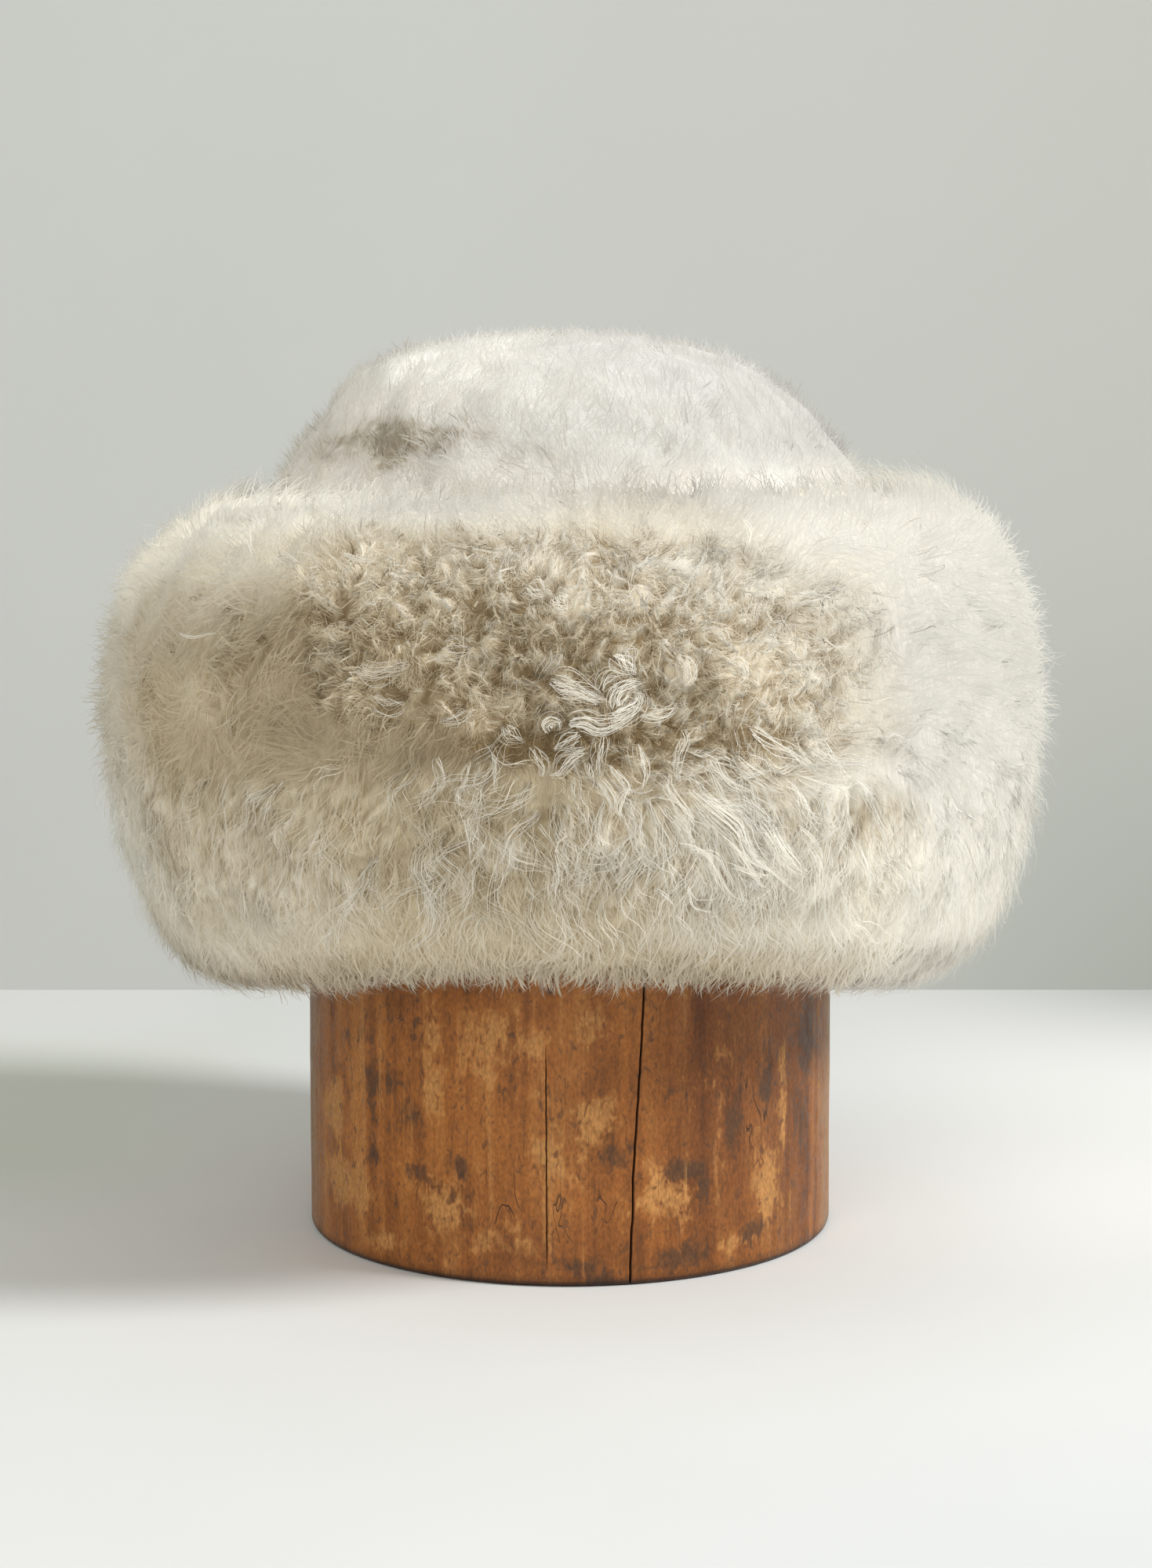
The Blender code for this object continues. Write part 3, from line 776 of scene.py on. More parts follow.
def cuffMass(s, material):
    # the matted wool: the outline's grid, inset, with its tufts. Its back lies on the cuff's hide
    columns, rows = s["massColumns"], s["massRows"]
    angle, along = np.meshgrid(np.arange(columns) / columns * 2 * math.pi, np.linspace(0, 1, rows))
    nature = cuffNature(angle, along)
    outer = cuffPlace(angle, along, (s["massInset"] - 0.7 * nature["height"]) * rimEase(along))[0]
    back = [ovalPoints(angle[0], s["backReach"], outer[row, :, 2] + move) for row, move in s["backRows"]]
    points = np.concatenate([outer.reshape(-1, 3)] + back)
    faces = np.concatenate([gridFaces(rows + 2, columns), joinRings((rows + 1) * columns, 0, columns)])
    mass = addMesh("cuff_matted_wool", points, [faces[:, ::-1]], material)
    behind = np.full(2 * columns, 0.5)
    beige = nature["beige"]
    calm = np.maximum(nature["calm"], smoothStep(0.68, 0.78, along))
    # painted shade and light: the felt is browner where its tufts lie low and among the curls, lighter where
    # calm, along the lip's inner side and where the light field says
    shade = 0.30 + 0.10 * calm + 0.30 * smoothStep(0.10, 0.0, along) + 0.95 * (nature["raised"] - 0.5)
    shade = shade - 0.15 * nature["curly"] + 0.32 * beige * nature["light"]
    light = 0.5 + (1 - 0.52 * beige) * nature["light"]
    white = nature["white"] * (0.85 - 0.75 * beige * smoothStep(0.55, 0.05, shade))
    fields = np.clip(shade, 0, 1), np.clip(light, 0, 1), white
    addColours(mass, "woolShadeAndTint", *(np.append(field, behind) for field in fields))
    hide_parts("cuff_wool")
    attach(mass, "root")
    print("matted wool", triangles(mass), "triangles")


def cuffHem(angle):
    # the height of the wool's lowest line
    lowest = np.argmin(cuffSection["height"])
    along = np.full(angle.shape, lowest / (len(cuffSection["height"]) - 1.0))
    return cuffPlace(angle, along)[0][..., 2]


def spreadLocks(rng, spacing, keepShare):
    # lock middles in rows round the cuff, each moved at random within its share of the row.
    # keepShare gives the share of the locks to keep at a place
    first, covered = 0.015, 0.97  # where the rows begin, and how much of the section they cover
    rows = int(cuffSection["length"] * covered / spacing)
    level = first + covered * (np.arange(rows) + 0.5) / rows
    counts = (2 * math.pi * (blockMean + sectionAt("reach", level)) / spacing).astype(int)
    row, order = rowOrder(counts)
    count = len(row)
    angle = (order + 0.5 * (row % 2) + rng.uniform(-0.45, 0.45, count)) / counts[row] * 2 * math.pi
    along = np.clip(level[row] + rng.uniform(-0.45, 0.45, count) * covered / rows, 0.005, 0.995)
    keep = rng.uniform(0, 1, count) < keepShare(angle, along)
    return angle[keep], along[keep]


def combing(angle, along, nature, wild, rng):
    # the way wool lies: up over the lip, outwards from the front's middle, down below it
    x, y, z = np.moveaxis(cuffPlace(angle, along)[0], -1, 0)
    count = len(angle)
    swirlA, swirlB = softNoise(x, y, z, 0.030, 41, 2), softNoise(x, y, z, 0.030, 42, 2)
    high = smoothStep(0.34, 0.12, along)
    back = np.sin(angle - 1.5 * math.pi)
    combDown = 0.25 + 1.05 * nature["low"] - 0.95 * high + wild * swirlA + 0.08 * rng.normal(size=count)
    combRound = 0.75 * back * (1 - 0.45 * nature["low"]) + wild * swirlB + 0.08 * rng.normal(size=count)
    return np.arctan2(combRound, combDown), swirlA


def baseLocks(s):
    # the down that covers the whole cuff
    rng = np.random.default_rng(s["seed"])
    angle, along = spreadLocks(rng, s["lockSpacing"], lambda a, b: 1 - s["thinBack"] * (np.sin(a) > 0.2))
    nature = cuffNature(angle, along)
    curly, low = nature["curly"], nature["low"]
    comb, swirl = combing(angle, along, nature, 0.32 + 0.5 * curly - 0.12 * low, rng)
    count = len(angle)
    edge, lip = smoothStep(0.80, 0.93, along), smoothStep(0.14, 0.04, along)
    calm = np.maximum(nature["calm"], smoothStep(0.68, 0.78, along))
    return {
        "angle": angle, "along": along,
        "comb": comb,
        "bend": rng.normal(size=count) * (0.45 + 0.9 * curly - 0.2 * calm) + 0.3 * swirl,
        "crimp": (0.20 - 0.08 * calm + 0.34 * curly + 0.14 * low * (1 - calm)) * rng.uniform(0.4, 1.3, count),
        "waves": 0.9 + 0.8 * curly + 0.5 * rng.uniform(size=count),
        "phase": rng.uniform(0, 6.28, count),
        "length": (0.0145 + 0.0090 * low * (1 - 0.75 * edge) - 0.0045 * curly) * rng.uniform(0.8, 1.2, count),
        "rise": (0.0044 - 0.0016 * curly - 0.0010 * low + 0.0034 * lip) * rng.uniform(0.6, 1.3, count),
        "gather": np.clip(0.45 - 0.20 * calm + 0.15 * low + 0.12 * rng.normal(size=count), 0.1, 0.85),
        "radius": np.full(count, 0.0046), "arch": np.zeros(count),
        "round": (0.30 + 0.2 * rng.uniform(size=count)) * (1 - 0.7 * calm),
        "shade": 0.40 + 0.06 * calm - 0.06 * curly + 0.03 * (1 - 0.5 * calm) * rng.normal(size=count),
        "climb": 0.34 - 0.18 * calm, "white": np.zeros(count), "even": 1 - 0.85 * calm,
        "domed": np.zeros(count),
        "tone": 0.035 * (1 - 0.4 * calm) * rng.normal(size=count) + 0.05 * (nature["own"] - 0.5),
    }


def curlLocks(s):
    # the small curls of the front: each a bundle of its own, and those of one tuft turn one way
    rng = np.random.default_rng(s["seed"] + 5)
    share = lambda a, b: smoothStep(0.10, 0.85, cuffNature(a, b)["curly"])
    angle, along = spreadLocks(rng, s["curlSpacing"], share)
    nature = cuffNature(angle, along)
    comb, _ = combing(angle, along, nature, 1.0, rng)
    count = len(angle)
    turn = np.where((nature["tuft"] * 17.0) % 1.0 > 0.5, 1.0, -1.0)
    bright = rng.uniform(size=count) ** 1.5
    curly = nature["curly"]
    return {
        "angle": angle, "along": along,
        "comb": comb + (0.3 + 0.7 * curly) * rng.normal(size=count),
        "bend": turn * (0.3 + 0.7 * curly) * rng.uniform(0.6, 3.2, count),
        "crimp": rng.uniform(0.25, 0.75, count),
        "waves": rng.uniform(0.8, 1.7, count),
        "phase": rng.uniform(0, 6.28, count),
        "length": rng.uniform(0.0065, 0.0120, count),
        "rise": rng.uniform(0.0010, 0.0036, count) * (0.6 + 0.6 * curly),
        "gather": rng.uniform(0.45, 0.85, count),
        "radius": rng.uniform(0.0013, 0.0024, count), "arch": rng.uniform(0.2, 0.9, count),
        "round": np.full(count, 0.75),
        "shade": 0.13 + 0.36 * bright, "climb": np.full(count, 0.50), "domed": np.full(count, 0.5),
        "white": 0.10 * bright - 0.05, "even": np.ones(count),
        "tone": 0.05 * rng.normal(size=count) + 0.08 * (bright - 0.4),
    }


def wispLocks(s):
    # long waving locks that hang over the lower front, and some elsewhere
    rng = np.random.default_rng(s["seed"] + 9)

    def share(angle, along):
        hanging = smoothStep(0.42, 0.52, along) * smoothStep(0.76, 0.64, along)
        hanging = hanging * (0.16 + 0.84 * plateau(angleOff(angle, 279), 0, 28))
        return hanging + 0.03 * smoothStep(0.5, 0.3, along)

    angle, along = spreadLocks(rng, s["wispSpacing"], share)
    nature = cuffNature(angle, along)
    comb, swirl = combing(angle, along, nature, 0.30, rng)
    count = len(angle)
    lower = smoothStep(0.45, 0.60, along)
    return {
        "angle": angle, "along": along,
        "comb": comb + 0.25 * rng.normal(size=count),
        "bend": 0.55 * rng.normal(size=count) + 0.4 * swirl,
        "crimp": rng.uniform(0.15, 0.50, count),
        "waves": rng.uniform(0.9, 2.0, count),
        "phase": rng.uniform(0, 6.28, count),
        "length": (0.012 + 0.016 * lower * smoothStep(0.92, 0.70, along)) * rng.uniform(0.8, 1.4, count),
        "rise": rng.uniform(0.0044, 0.0072, count),
        "gather": rng.uniform(0.5, 0.85, count),
        "radius": rng.uniform(0.0010, 0.0022, count), "arch": 0.25 * rng.uniform(size=count),
        "round": np.full(count, 0.8), "shade": 0.40 + 0.20 * rng.uniform(size=count),
        "domed": np.full(count, 0.35),
        "climb": np.full(count, 0.60), "white": rng.uniform(0.1, 0.60, count), "even": np.ones(count),
        "tone": 0.08 + 0.07 * rng.normal(size=count),
    }


def growCuff(locks, s, rng, kind):
    # strands round the middle of each lock. A strand is drawn on the surface of the cuff: its
    # heading turns with a steady bend and a crimp, it keeps its place at the side of the lock's
    # middle, and its height above the matted wool climbs and levels off or arches over
    k = s["kinds"][kind]
    segments = k["segments"]
    who = np.repeat(np.arange(len(locks["angle"])), k["strands"])
    n = len(who)
    pick = lambda key: locks[key][who][:, None]
    t = np.linspace(0.0, 1.0, segments + 1)[None, :]
    share = rng.uniform(0.65, 1.10, (n, 1)) * k["reach"]
    waves = 2 * math.pi * pick("waves") * t + pick("phase") + 2 * k["loose"] * rng.normal(size=(n, 1))
    heading = pick("comb") + k["loose"] * rng.normal(size=(n, 1))
    heading = heading + pick("bend") * t + 1.6 * pick("crimp") * np.sin(waves)
    heading = heading + k["stray"] * np.cumsum(rng.normal(size=(n, segments + 1)), axis=1)
    step = pick("length") * share / segments
    middle = 0.5 * (heading[:, 1:] + heading[:, :-1])
    zero = np.zeros((n, 1))
    down = np.concatenate([zero, np.cumsum(step * np.cos(middle), axis=1)], axis=1)
    aboutRun = np.concatenate([zero, np.cumsum(step * np.sin(middle), axis=1)], axis=1)
    spin, far = rng.uniform(0, 6.28, (n, 1)), np.sqrt(rng.uniform(0, 1, (n, 1))) * k["spread"]
    aside, ahead = far * np.sin(spin), far * np.cos(spin)
    hold = 1.0 - pick("gather") * t ** 0.8
    radius = pick("radius")
    start = ahead * radius
    offDown = start * np.cos(heading[:, :1]) - aside * radius * hold * np.sin(heading)
    offRound = start * np.sin(heading[:, :1]) + aside * radius * hold * np.cos(heading)
    ring = blockMean + sectionAt("reach", pick("along"))
    angle = pick("angle") + (aboutRun + offRound) / ring
    along = pick("along") + (down + offDown) / cuffSection["length"]
    kept = np.clip(along, 0.0, 1.0)
    rise = pick("rise") * k["lift"] * rng.uniform(0.35, 1.35, (n, 1))
    level, arched = 1 - (1 - t) ** 1.8, np.sin(math.pi * t ** 0.8)
    climb = rise * (level + pick("arch") * (arched - level))
    climb = climb + s["crimpHigh"] * pick("crimp") * (np.cos(waves) - np.cos(waves[:, :1])) - s["rootDepth"]
    climb = climb + radius * pick("domed") * hold * np.sqrt(np.clip(1 - aside ** 2, 0, 1))
    here = cuffNature(angle, kept)
    base, delta = here["height"], 0.002
    slopeRound = (cuffNature(angle + delta, kept)["height"] - base) / (delta * s["woolMean"])
    slopeDown = (cuffNature(angle, kept + delta)["height"] - base) / (delta * cuffSection["length"])
    path, normal, way, around = cuffPlace(angle, kept, (s["massInset"] - base) * rimEase(kept) - climb)
    path = path + way * ((along - kept) * cuffSection["length"])[..., None]
    # low strands leave the surface and hang: from their root's own plane, with a pull downwards
    hang = (smoothStep(0.80, 0.93, pick("along")) * (1 - 0.75 * np.cos(pick("angle")) ** 2))[..., None]
    root, first, firstWay, firstRound = path[:, :1], normal[:, :1], way[:, :1], around[:, :1]
    fall = (down + offDown)[..., None] * firstWay + (aboutRun + offRound)[..., None] * firstRound
    fall = fall - (down + offDown)[:, :1, None] * firstWay - (aboutRun + offRound)[:, :1, None] * firstRound
    fall = fall + (climb - climb[:, :1])[..., None] * first
    drop = np.maximum(down - down[:, :1], 0)[..., None]
    fall = fall * (1 - 0.45 * hang) - np.array([0, 0, 1.0]) * drop * 0.65 * hang
    # they end at an uneven line a little below the hem, deeper at two places
    about = pick("angle")
    ragged = softNoise(3 * np.cos(about), 3 * np.sin(about), 0 * about, 0.22, 17, 3)
    dips = bump(angleOff(about, 224), 0, 18) + bump(angleOff(about, 313), 0, 18)
    loose = rng.uniform(-0.5, 1.0, (n, 1, 1)) ** 3
    room = root[..., 2:] - cuffHem(about[..., None]) + s["hemLoose"] * loose
    room = room + (s["hemSpare"] + s["hemRagged"] * ragged + s["hemDips"] * dips)[..., None]
    reachDown = np.maximum(-fall[:, -1:, 2:], 1e-5)
    fall = fall * np.clip(np.maximum(room, 0.0025) / reachDown, 0.0, 1.25)
    path = path * (1 - hang) + (root + fall) * hang
    sideways = -np.sin(heading)[..., None] * way + np.cos(heading)[..., None] * around
    rough = k["rough"] * pick("even")[..., None]
    lobe = (pick("round") * aside)[..., None] * sideways
    face = normal + rough * unit(rng.normal(size=(n, 1, 3))) + 0.5 * lobe
    width = k["width"] * rng.uniform(0.7, 1.3, n)
    tuft = normal - 0.7 * (slopeRound[..., None] * around + slopeDown[..., None] * way)
    # painted shade and light: browner at the root, where tufts lie low and at the sides of curl bundles,
    # lighter and whiter where the light and white fields say, and the hanging tips lighter
    depth = pick("shade") + 1.1 * (here["raised"] - 0.5) + pick("climb") * t ** 0.8
    mottle = k["mottle"] * pick("even") * rng.normal(size=(n, 1))
    depth = depth - 0.22 * (pick("round") > 0.6) * aside ** 2 + 0.32 * here["beige"] * here["light"] + mottle
    tone = 0.5 + (1 - 0.52 * here["beige"]) * here["light"] + pick("tone") + 0.4 * mottle
    depth, tone = depth + 0.20 * hang[..., 0] * t, tone + 0.16 * hang[..., 0] * t
    white = here["white"] + pick("white") + 0.05 * rng.normal(size=(n, 1))
    white = white * (1 - here["beige"] * smoothStep(0.55, 0.05, depth))
    return strandLayer(who, path, face, width, k["taper"], tuft + lobe, rough,
                       depth=depth, tone=tone, white=white)


# single locks seen in the photograph: places in degrees and share of the section, half width in
# mm, strands, paleness (0 for brown guard hairs) and height above the matted wool in mm
shownLocks = [
    (((268.0, 0.401), (269.8, 0.409), (271.8, 0.416), (273.9, 0.424)), 2.4, 34, 0.90, 7.5),
    (((268.6, 0.416), (270.8, 0.420), (273.1, 0.427)), 1.6, 20, 0.80, 7.0),
    (((269.9, 0.453), (271.5, 0.450), (273.1, 0.456), (274.9, 0.450), (276.9, 0.439)), 1.7, 34, 1.00, 8.0),
    (((274.5, 0.436), (274.8, 0.420), (275.9, 0.408), (277.8, 0.403)), 1.5, 28, 1.00, 8.2),
    (((274.0, 0.448), (275.5, 0.443), (276.9, 0.432), (277.2, 0.420), (276.5, 0.413)), 1.6, 28, 1.00, 8.6),
    (((277.4, 0.443), (278.9, 0.444), (280.4, 0.439), (281.2, 0.429)), 1.7, 22, 0.75, 7.0),
    (((274.5, 0.372), (275.1, 0.381), (276.0, 0.391), (276.9, 0.396)), 2.8, 34, 1.00, 7.5),
    (((273.4, 0.415), (273.8, 0.404), (274.6, 0.396), (275.8, 0.396)), 1.4, 18, 0.80, 7.4),
    (((267.9, 0.464), (267.5, 0.455), (268.1, 0.448), (269.0, 0.451), (268.9, 0.461)), 1.2, 18, 0.90, 7.6),
    (((263.2, 0.455), (263.8, 0.464), (264.5, 0.469), (265.5, 0.475)), 1.6, 18, 0.70, 6.8),
    (((271.2, 0.464), (270.2, 0.471), (269.2, 0.479), (268.5, 0.484)), 1.8, 22, 0.75, 7.0),
    (((271.8, 0.484), (270.5, 0.489), (269.4, 0.499), (268.8, 0.510), (268.0, 0.514)), 1.5, 22, 0.85, 7.4),
    (((266.1, 0.479), (266.6, 0.491), (267.2, 0.504), (267.0, 0.516)), 1.7, 18, 0.65, 6.8),
    (((268.4, 0.301), (268.9, 0.311), (269.8, 0.316)), 1.7, 20, 0.90, 7.2),
    (((265.5, 0.284), (266.5, 0.291), (267.4, 0.294)), 1.9, 22, 0.90, 7.2),
    (((256.5, 0.364), (258.1, 0.367), (260.1, 0.364)), 2.0, 20, 0.75, 6.8),
    (((259.6, 0.434), (259.0, 0.443), (257.8, 0.449), (256.4, 0.450)), 1.2, 14, 0.70, 6.6),
    (((281.4, 0.371), (282.4, 0.383), (282.6, 0.398), (281.9, 0.409)), 1.4, 16, 0.80, 7.0),
    (((286.8, 0.376), (288.1, 0.384), (288.5, 0.398), (287.8, 0.408)), 1.2, 12, 0.85, 7.0),
    (((247.0, 0.388), (248.9, 0.394), (251.2, 0.389), (253.1, 0.383)), 2.4, 26, 0.70, 6.6),
    (((249.0, 0.425), (251.0, 0.434), (252.8, 0.432)), 1.9, 18, 0.70, 6.4),
    (((281.8, 0.460), (282.0, 0.474), (281.4, 0.489), (281.2, 0.509), (281.4, 0.529)), 0.9, 12, 0.95, 7.6),
    (((284.6, 0.511), (285.2, 0.527), (286.1, 0.547), (287.1, 0.568), (288.1, 0.584)), 0.7, 9, 1.00, 8.0),
    (((282.9, 0.519), (284.1, 0.545), (285.8, 0.564), (287.8, 0.586), (288.5, 0.611),
      (289.9, 0.636), (291.8, 0.652), (293.5, 0.671), (295.5, 0.689)), 1.7, 26, 1.00, 8.6),
    (((282.2, 0.537), (283.6, 0.562), (285.2, 0.583), (287.1, 0.606), (288.0, 0.629),
      (289.6, 0.647), (291.8, 0.655)), 1.5, 18, 0.95, 8.2),
    (((286.0, 0.604), (287.4, 0.620), (288.5, 0.639), (289.8, 0.661), (291.0, 0.679),
      (292.0, 0.682)), 0.9, 12, 0.95, 8.2),
    (((290.0, 0.585), (291.0, 0.610), (292.5, 0.638), (294.5, 0.659), (297.1, 0.672)), 1.3, 18, 1.00, 8.8),
    (((291.4, 0.588), (292.5, 0.615), (293.8, 0.635), (295.4, 0.654), (297.0, 0.662)), 0.9, 11, 1.00, 8.6),
    (((293.9, 0.590), (295.4, 0.605), (296.9, 0.625), (298.1, 0.644)), 0.9, 11, 0.95, 8.2),
    (((295.8, 0.618), (297.0, 0.642), (297.6, 0.672), (297.6, 0.696), (297.4, 0.709)), 1.0, 13, 1.00, 8.6),
    (((299.9, 0.618), (301.0, 0.635), (300.9, 0.654), (299.9, 0.669), (299.0, 0.690),
      (298.2, 0.709)), 0.9, 11, 1.00, 8.8),
    (((298.4, 0.657), (298.4, 0.677), (298.6, 0.699)), 0.6, 7, 0.95, 8.0),
    (((281.0, 0.614), (282.9, 0.619), (284.4, 0.633), (285.5, 0.654), (287.2, 0.688),
      (288.8, 0.704)), 0.6, 7, 0.90, 8.0),
    (((282.5, 0.623), (284.5, 0.623), (285.8, 0.633), (286.5, 0.651), (287.5, 0.671),
      (287.9, 0.688)), 0.7, 8, 0.95, 8.2),
    (((279.2, 0.681), (280.4, 0.694), (281.4, 0.711)), 0.7, 8, 0.95, 7.8),
    (((301.2, 0.611), (302.6, 0.639), (303.8, 0.667), (304.8, 0.696)), 1.0, 10, 1.00, 8.0),
    (((286.5, 0.645), (288.5, 0.657), (290.8, 0.664), (292.6, 0.672)), 0.8, 9, 0.90, 8.0),
    (((281.6, 0.726), (282.6, 0.740), (283.6, 0.753), (284.0, 0.772)), 0.5, 6, 0.90, 7.4),
    (((272.1, 0.496), (272.1, 0.511), (272.6, 0.525)), 0.5, 6, 0.95, 7.4),
    (((274.0, 0.500), (274.9, 0.514), (275.8, 0.530), (276.1, 0.544)), 1.0, 14, 0.90, 7.8),
    (((273.0, 0.519), (274.0, 0.539), (274.5, 0.559), (274.2, 0.576)), 0.9, 12, 0.90, 7.8),
    (((275.4, 0.576), (275.1, 0.559), (275.6, 0.541), (276.2, 0.532)), 0.7, 9, 0.95, 7.8),
    (((275.9, 0.547), (276.2, 0.565), (277.0, 0.579)), 0.6, 7, 0.95, 7.6),
    (((277.5, 0.591), (277.4, 0.606), (276.6, 0.623)), 0.4, 5, 1.00, 7.8),
    (((276.8, 0.476), (277.0, 0.495), (277.5, 0.515), (277.2, 0.539)), 1.2, 16, 0.80, 7.4),
    (((273.5, 0.465), (273.0, 0.482), (272.8, 0.499), (273.1, 0.519)), 1.2, 16, 0.80, 7.4),
    (((270.6, 0.613), (270.9, 0.631), (270.8, 0.655)), 0.4, 5, 0.95, 7.2),
    (((266.9, 0.584), (267.4, 0.595), (268.0, 0.609)), 0.4, 5, 0.90, 7.2),
    (((259.2, 0.578), (259.6, 0.608), (259.6, 0.641)), 0.5, 6, 0.80, 7.0),
    (((259.9, 0.497), (259.5, 0.520), (259.2, 0.546)), 1.0, 10, 0.70, 7.0),
    (((262.2, 0.486), (262.6, 0.508), (262.5, 0.539)), 1.2, 12, 0.65, 7.0),
    (((256.1, 0.495), (256.8, 0.516), (256.5, 0.542)), 1.2, 12, 0.65, 7.0),
    (((284.4, 0.492), (285.1, 0.511), (286.9, 0.531), (289.0, 0.545)), 2.0, 20, 0.80, 7.6),
    (((287.2, 0.492), (289.0, 0.512), (291.1, 0.534), (293.4, 0.544)), 2.2, 20, 0.85, 7.4),
    (((289.0, 0.461), (291.1, 0.481), (293.8, 0.495), (296.5, 0.516)), 2.4, 20, 0.85, 7.0),
    (((292.9, 0.525), (294.4, 0.554), (295.4, 0.581), (295.8, 0.609)), 1.6, 16, 0.85, 7.4),
    (((279.9, 0.526), (280.9, 0.551), (282.0, 0.575), (282.8, 0.596)), 2.0, 22, 0.85, 7.6),
    (((280.8, 0.571), (281.8, 0.596), (283.1, 0.621), (284.3, 0.646)), 1.4, 14, 0.80, 7.4),
    (((313.4, 0.356), (312.1, 0.351), (310.6, 0.355), (309.6, 0.356)), 0.1, 2, 0.02, 9.5),
    (((307.5, 0.344), (306.1, 0.352), (304.5, 0.357), (302.9, 0.359)), 0.1, 2, 0.02, 9.5),
    (((317.9, 0.250), (315.0, 0.256), (312.2, 0.255)), 0.1, 2, 0.15, 9.0),
    (((317.8, 0.274), (315.5, 0.284), (312.2, 0.285)), 0.1, 2, 0.12, 9.0),
    (((313.6, 0.217), (317.4, 0.209), (319.4, 0.214)), 0.1, 2, 0.30, 9.0),
    (((290.8, 0.198), (291.2, 0.219), (290.4, 0.244)), 0.5, 6, 0.90, 8.0),
    (((242.8, 0.242), (245.4, 0.254), (247.9, 0.254)), 0.7, 8, 0.90, 7.4),
    (((220.8, 0.354), (224.2, 0.359), (227.1, 0.351)), 0.6, 6, 0.85, 7.2),
]


def drawLocks(s, table):
    # each strand follows a smooth curve through its lock's places, spread to the sides by a width
    # that swells and then gathers, with a slight wave of its own
    rng = np.random.default_rng(s["seed"] + 31)
    segments, layers = 10, []
    t, steps = np.linspace(0, 1, segments + 1)[None, :], np.linspace(0, 1, 60)
    radius = blockMean + s["shownReach"]
    for places, half, full, pale, lift in table:
        strands = max(2, int((0.95 - 0.12 * half) * full))
        degrees, level = (catmullRom([place[axis] for place in places], 60) for axis in (0, 1))
        begin, end = rng.uniform(0, 0.24, (strands, 1)), rng.uniform(0.76, 1.08, (strands, 1))
        reach = np.clip(begin + (end - begin) * t, 0, 1)
        angle, along = np.radians(np.interp(reach, steps, degrees)), np.interp(reach, steps, level)
        aside = np.clip(0.6 * rng.normal(size=(strands, 1)), -1.4, 1.4)
        swell = 0.45 + 0.75 * np.sin(math.pi * reach ** 0.8) - 0.25 * reach
        cycles = rng.uniform(0.4, 1.5, (strands, 1))
        wave = 0.30 * np.sin(2 * math.pi * cycles * t + rng.uniform(0, 6.28, (strands, 1)))
        runRound = np.gradient(angle, axis=1) * radius
        runDown = np.gradient(along, axis=1) * cuffSection["length"]
        size = np.maximum(np.hypot(runRound, runDown), 1e-9)
        off = (1.45 * aside * swell + wave) * half * 0.001
        angle = angle + off * runDown / size / radius
        along = along - off * runRound / size / cuffSection["length"]
        height = lift * 0.001 * (0.62 + 0.38 * np.sin(math.pi * reach ** 0.7))
        height = height * rng.uniform(0.66, 1.02, (strands, 1)) - 0.4 * half * 0.001 * aside ** 2
        path, normal, way, around = cuffPlace(angle, along, s["massInset"] - height)
        lobe = 0.4 * aside[..., None] * unit(runDown[..., None] * around - runRound[..., None] * way)
        face = normal + lobe + 0.3 * unit(rng.normal(size=(strands, 1, 3)))
        width = s["shownWidth"] * rng.uniform(0.6, 1.3, strands)
        # painted shade: darker at the root and at the lock's sides, while pale gives the lock's own paleness
        depth = 0.40 + 0.52 * t + 0.14 * rng.normal(size=(strands, 1)) - 0.20 * aside ** 2
        tone = 0.20 + 0.50 * pale + 0.07 * rng.normal(size=(strands, 1))
        white = 0.85 * pale + 0.12 * rng.normal(size=(strands, 1))
        layers.append(strandLayer(np.arange(strands), path, face, width, 0.4, normal + lobe, 0.3,
                                  depth=depth * min(1.0, 3 * pale), tone=tone, white=white))
    return layers


def makeCuff(s):
    cuffMass(s, woolMaterial("mattedWool", {**s["look"], **s["matted"]}, False))
    material = woolMaterial("longWool", s["look"], True)
    rng = np.random.default_rng(s["seed"] + 1)
    locks = baseLocks(s)
    layers = [growCuff(locks, s, rng, kind) for kind in ("body", "fine", "halo")]
    curls, wisps = curlLocks(s), wispLocks(s)
    curled, waved = [growCuff(curls, s, rng, "curl")], [growCuff(wisps, s, rng, "wisp")]
    off = angleOff(curls["angle"], 269)
    for side, sign in (("left", -1), ("right", 1)):
        half = off * sign >= 0
        addStrands("cuff_curls_" + side, curled, material, False, lambda who: half[who])
    addStrands("cuff_wisps", waved, material)
    addStrands("cuff_long_locks", drawLocks(s, shownLocks), material, False)
    for side, middle in (("front", 270), ("right", 0), ("back", 90), ("left", 180)):
        turned = angleOff(locks["angle"], middle)
        quarter = (turned >= -45) & (turned < 45)
        addStrands("cuff_wool_" + side, layers, material, False, lambda who: quarter[who])
    counts = [len(kind["angle"]) for kind in (locks, curls, wisps)]
    print("cuff wool made: {} locks, {} curls and {} wisps".format(*counts))


# the crown's wool
crownFur = {
    "massInset": 0.0036, "massColumns": 220, "massRows": 62,
    "underRows": 16, "underGap": 0.0003,  # of the felt's inner side, over the hide
    "lockSpacing": 0.0050, "rootDepth": 0.0006,
    "kinds": {
        "body": {"strands": 4, "width": 0.00055, "spread": 0.80, "stray": 0.06, "lean": 68, "rough": 0.06},
        "fine": {"strands": 9, "width": 0.00023, "spread": 0.95, "stray": 0.18, "lean": 54, "rough": 0.16},
    },
    "segments": 3,
    "length": 0.0074,
    "seed": 51,
    # deep is the brown of painted shade in hollows and at roots, white the painted light of lit wool
    "look": {"deep": (0.36, 0.30, 0.215), "middle": (0.66, 0.61, 0.52), "tip": (0.80, 0.77, 0.71),
             "white": (0.80, 0.790, 0.765), "roughness": 0.8, "shine": 0.10,
             "grainScale": 900.0, "grain": 0.07, "vary": 0.40, "bump": 0.0, "through": 0.28},
    "matted": {"through": 0.0, "bump": 0.4, "grain": 0.08},
}
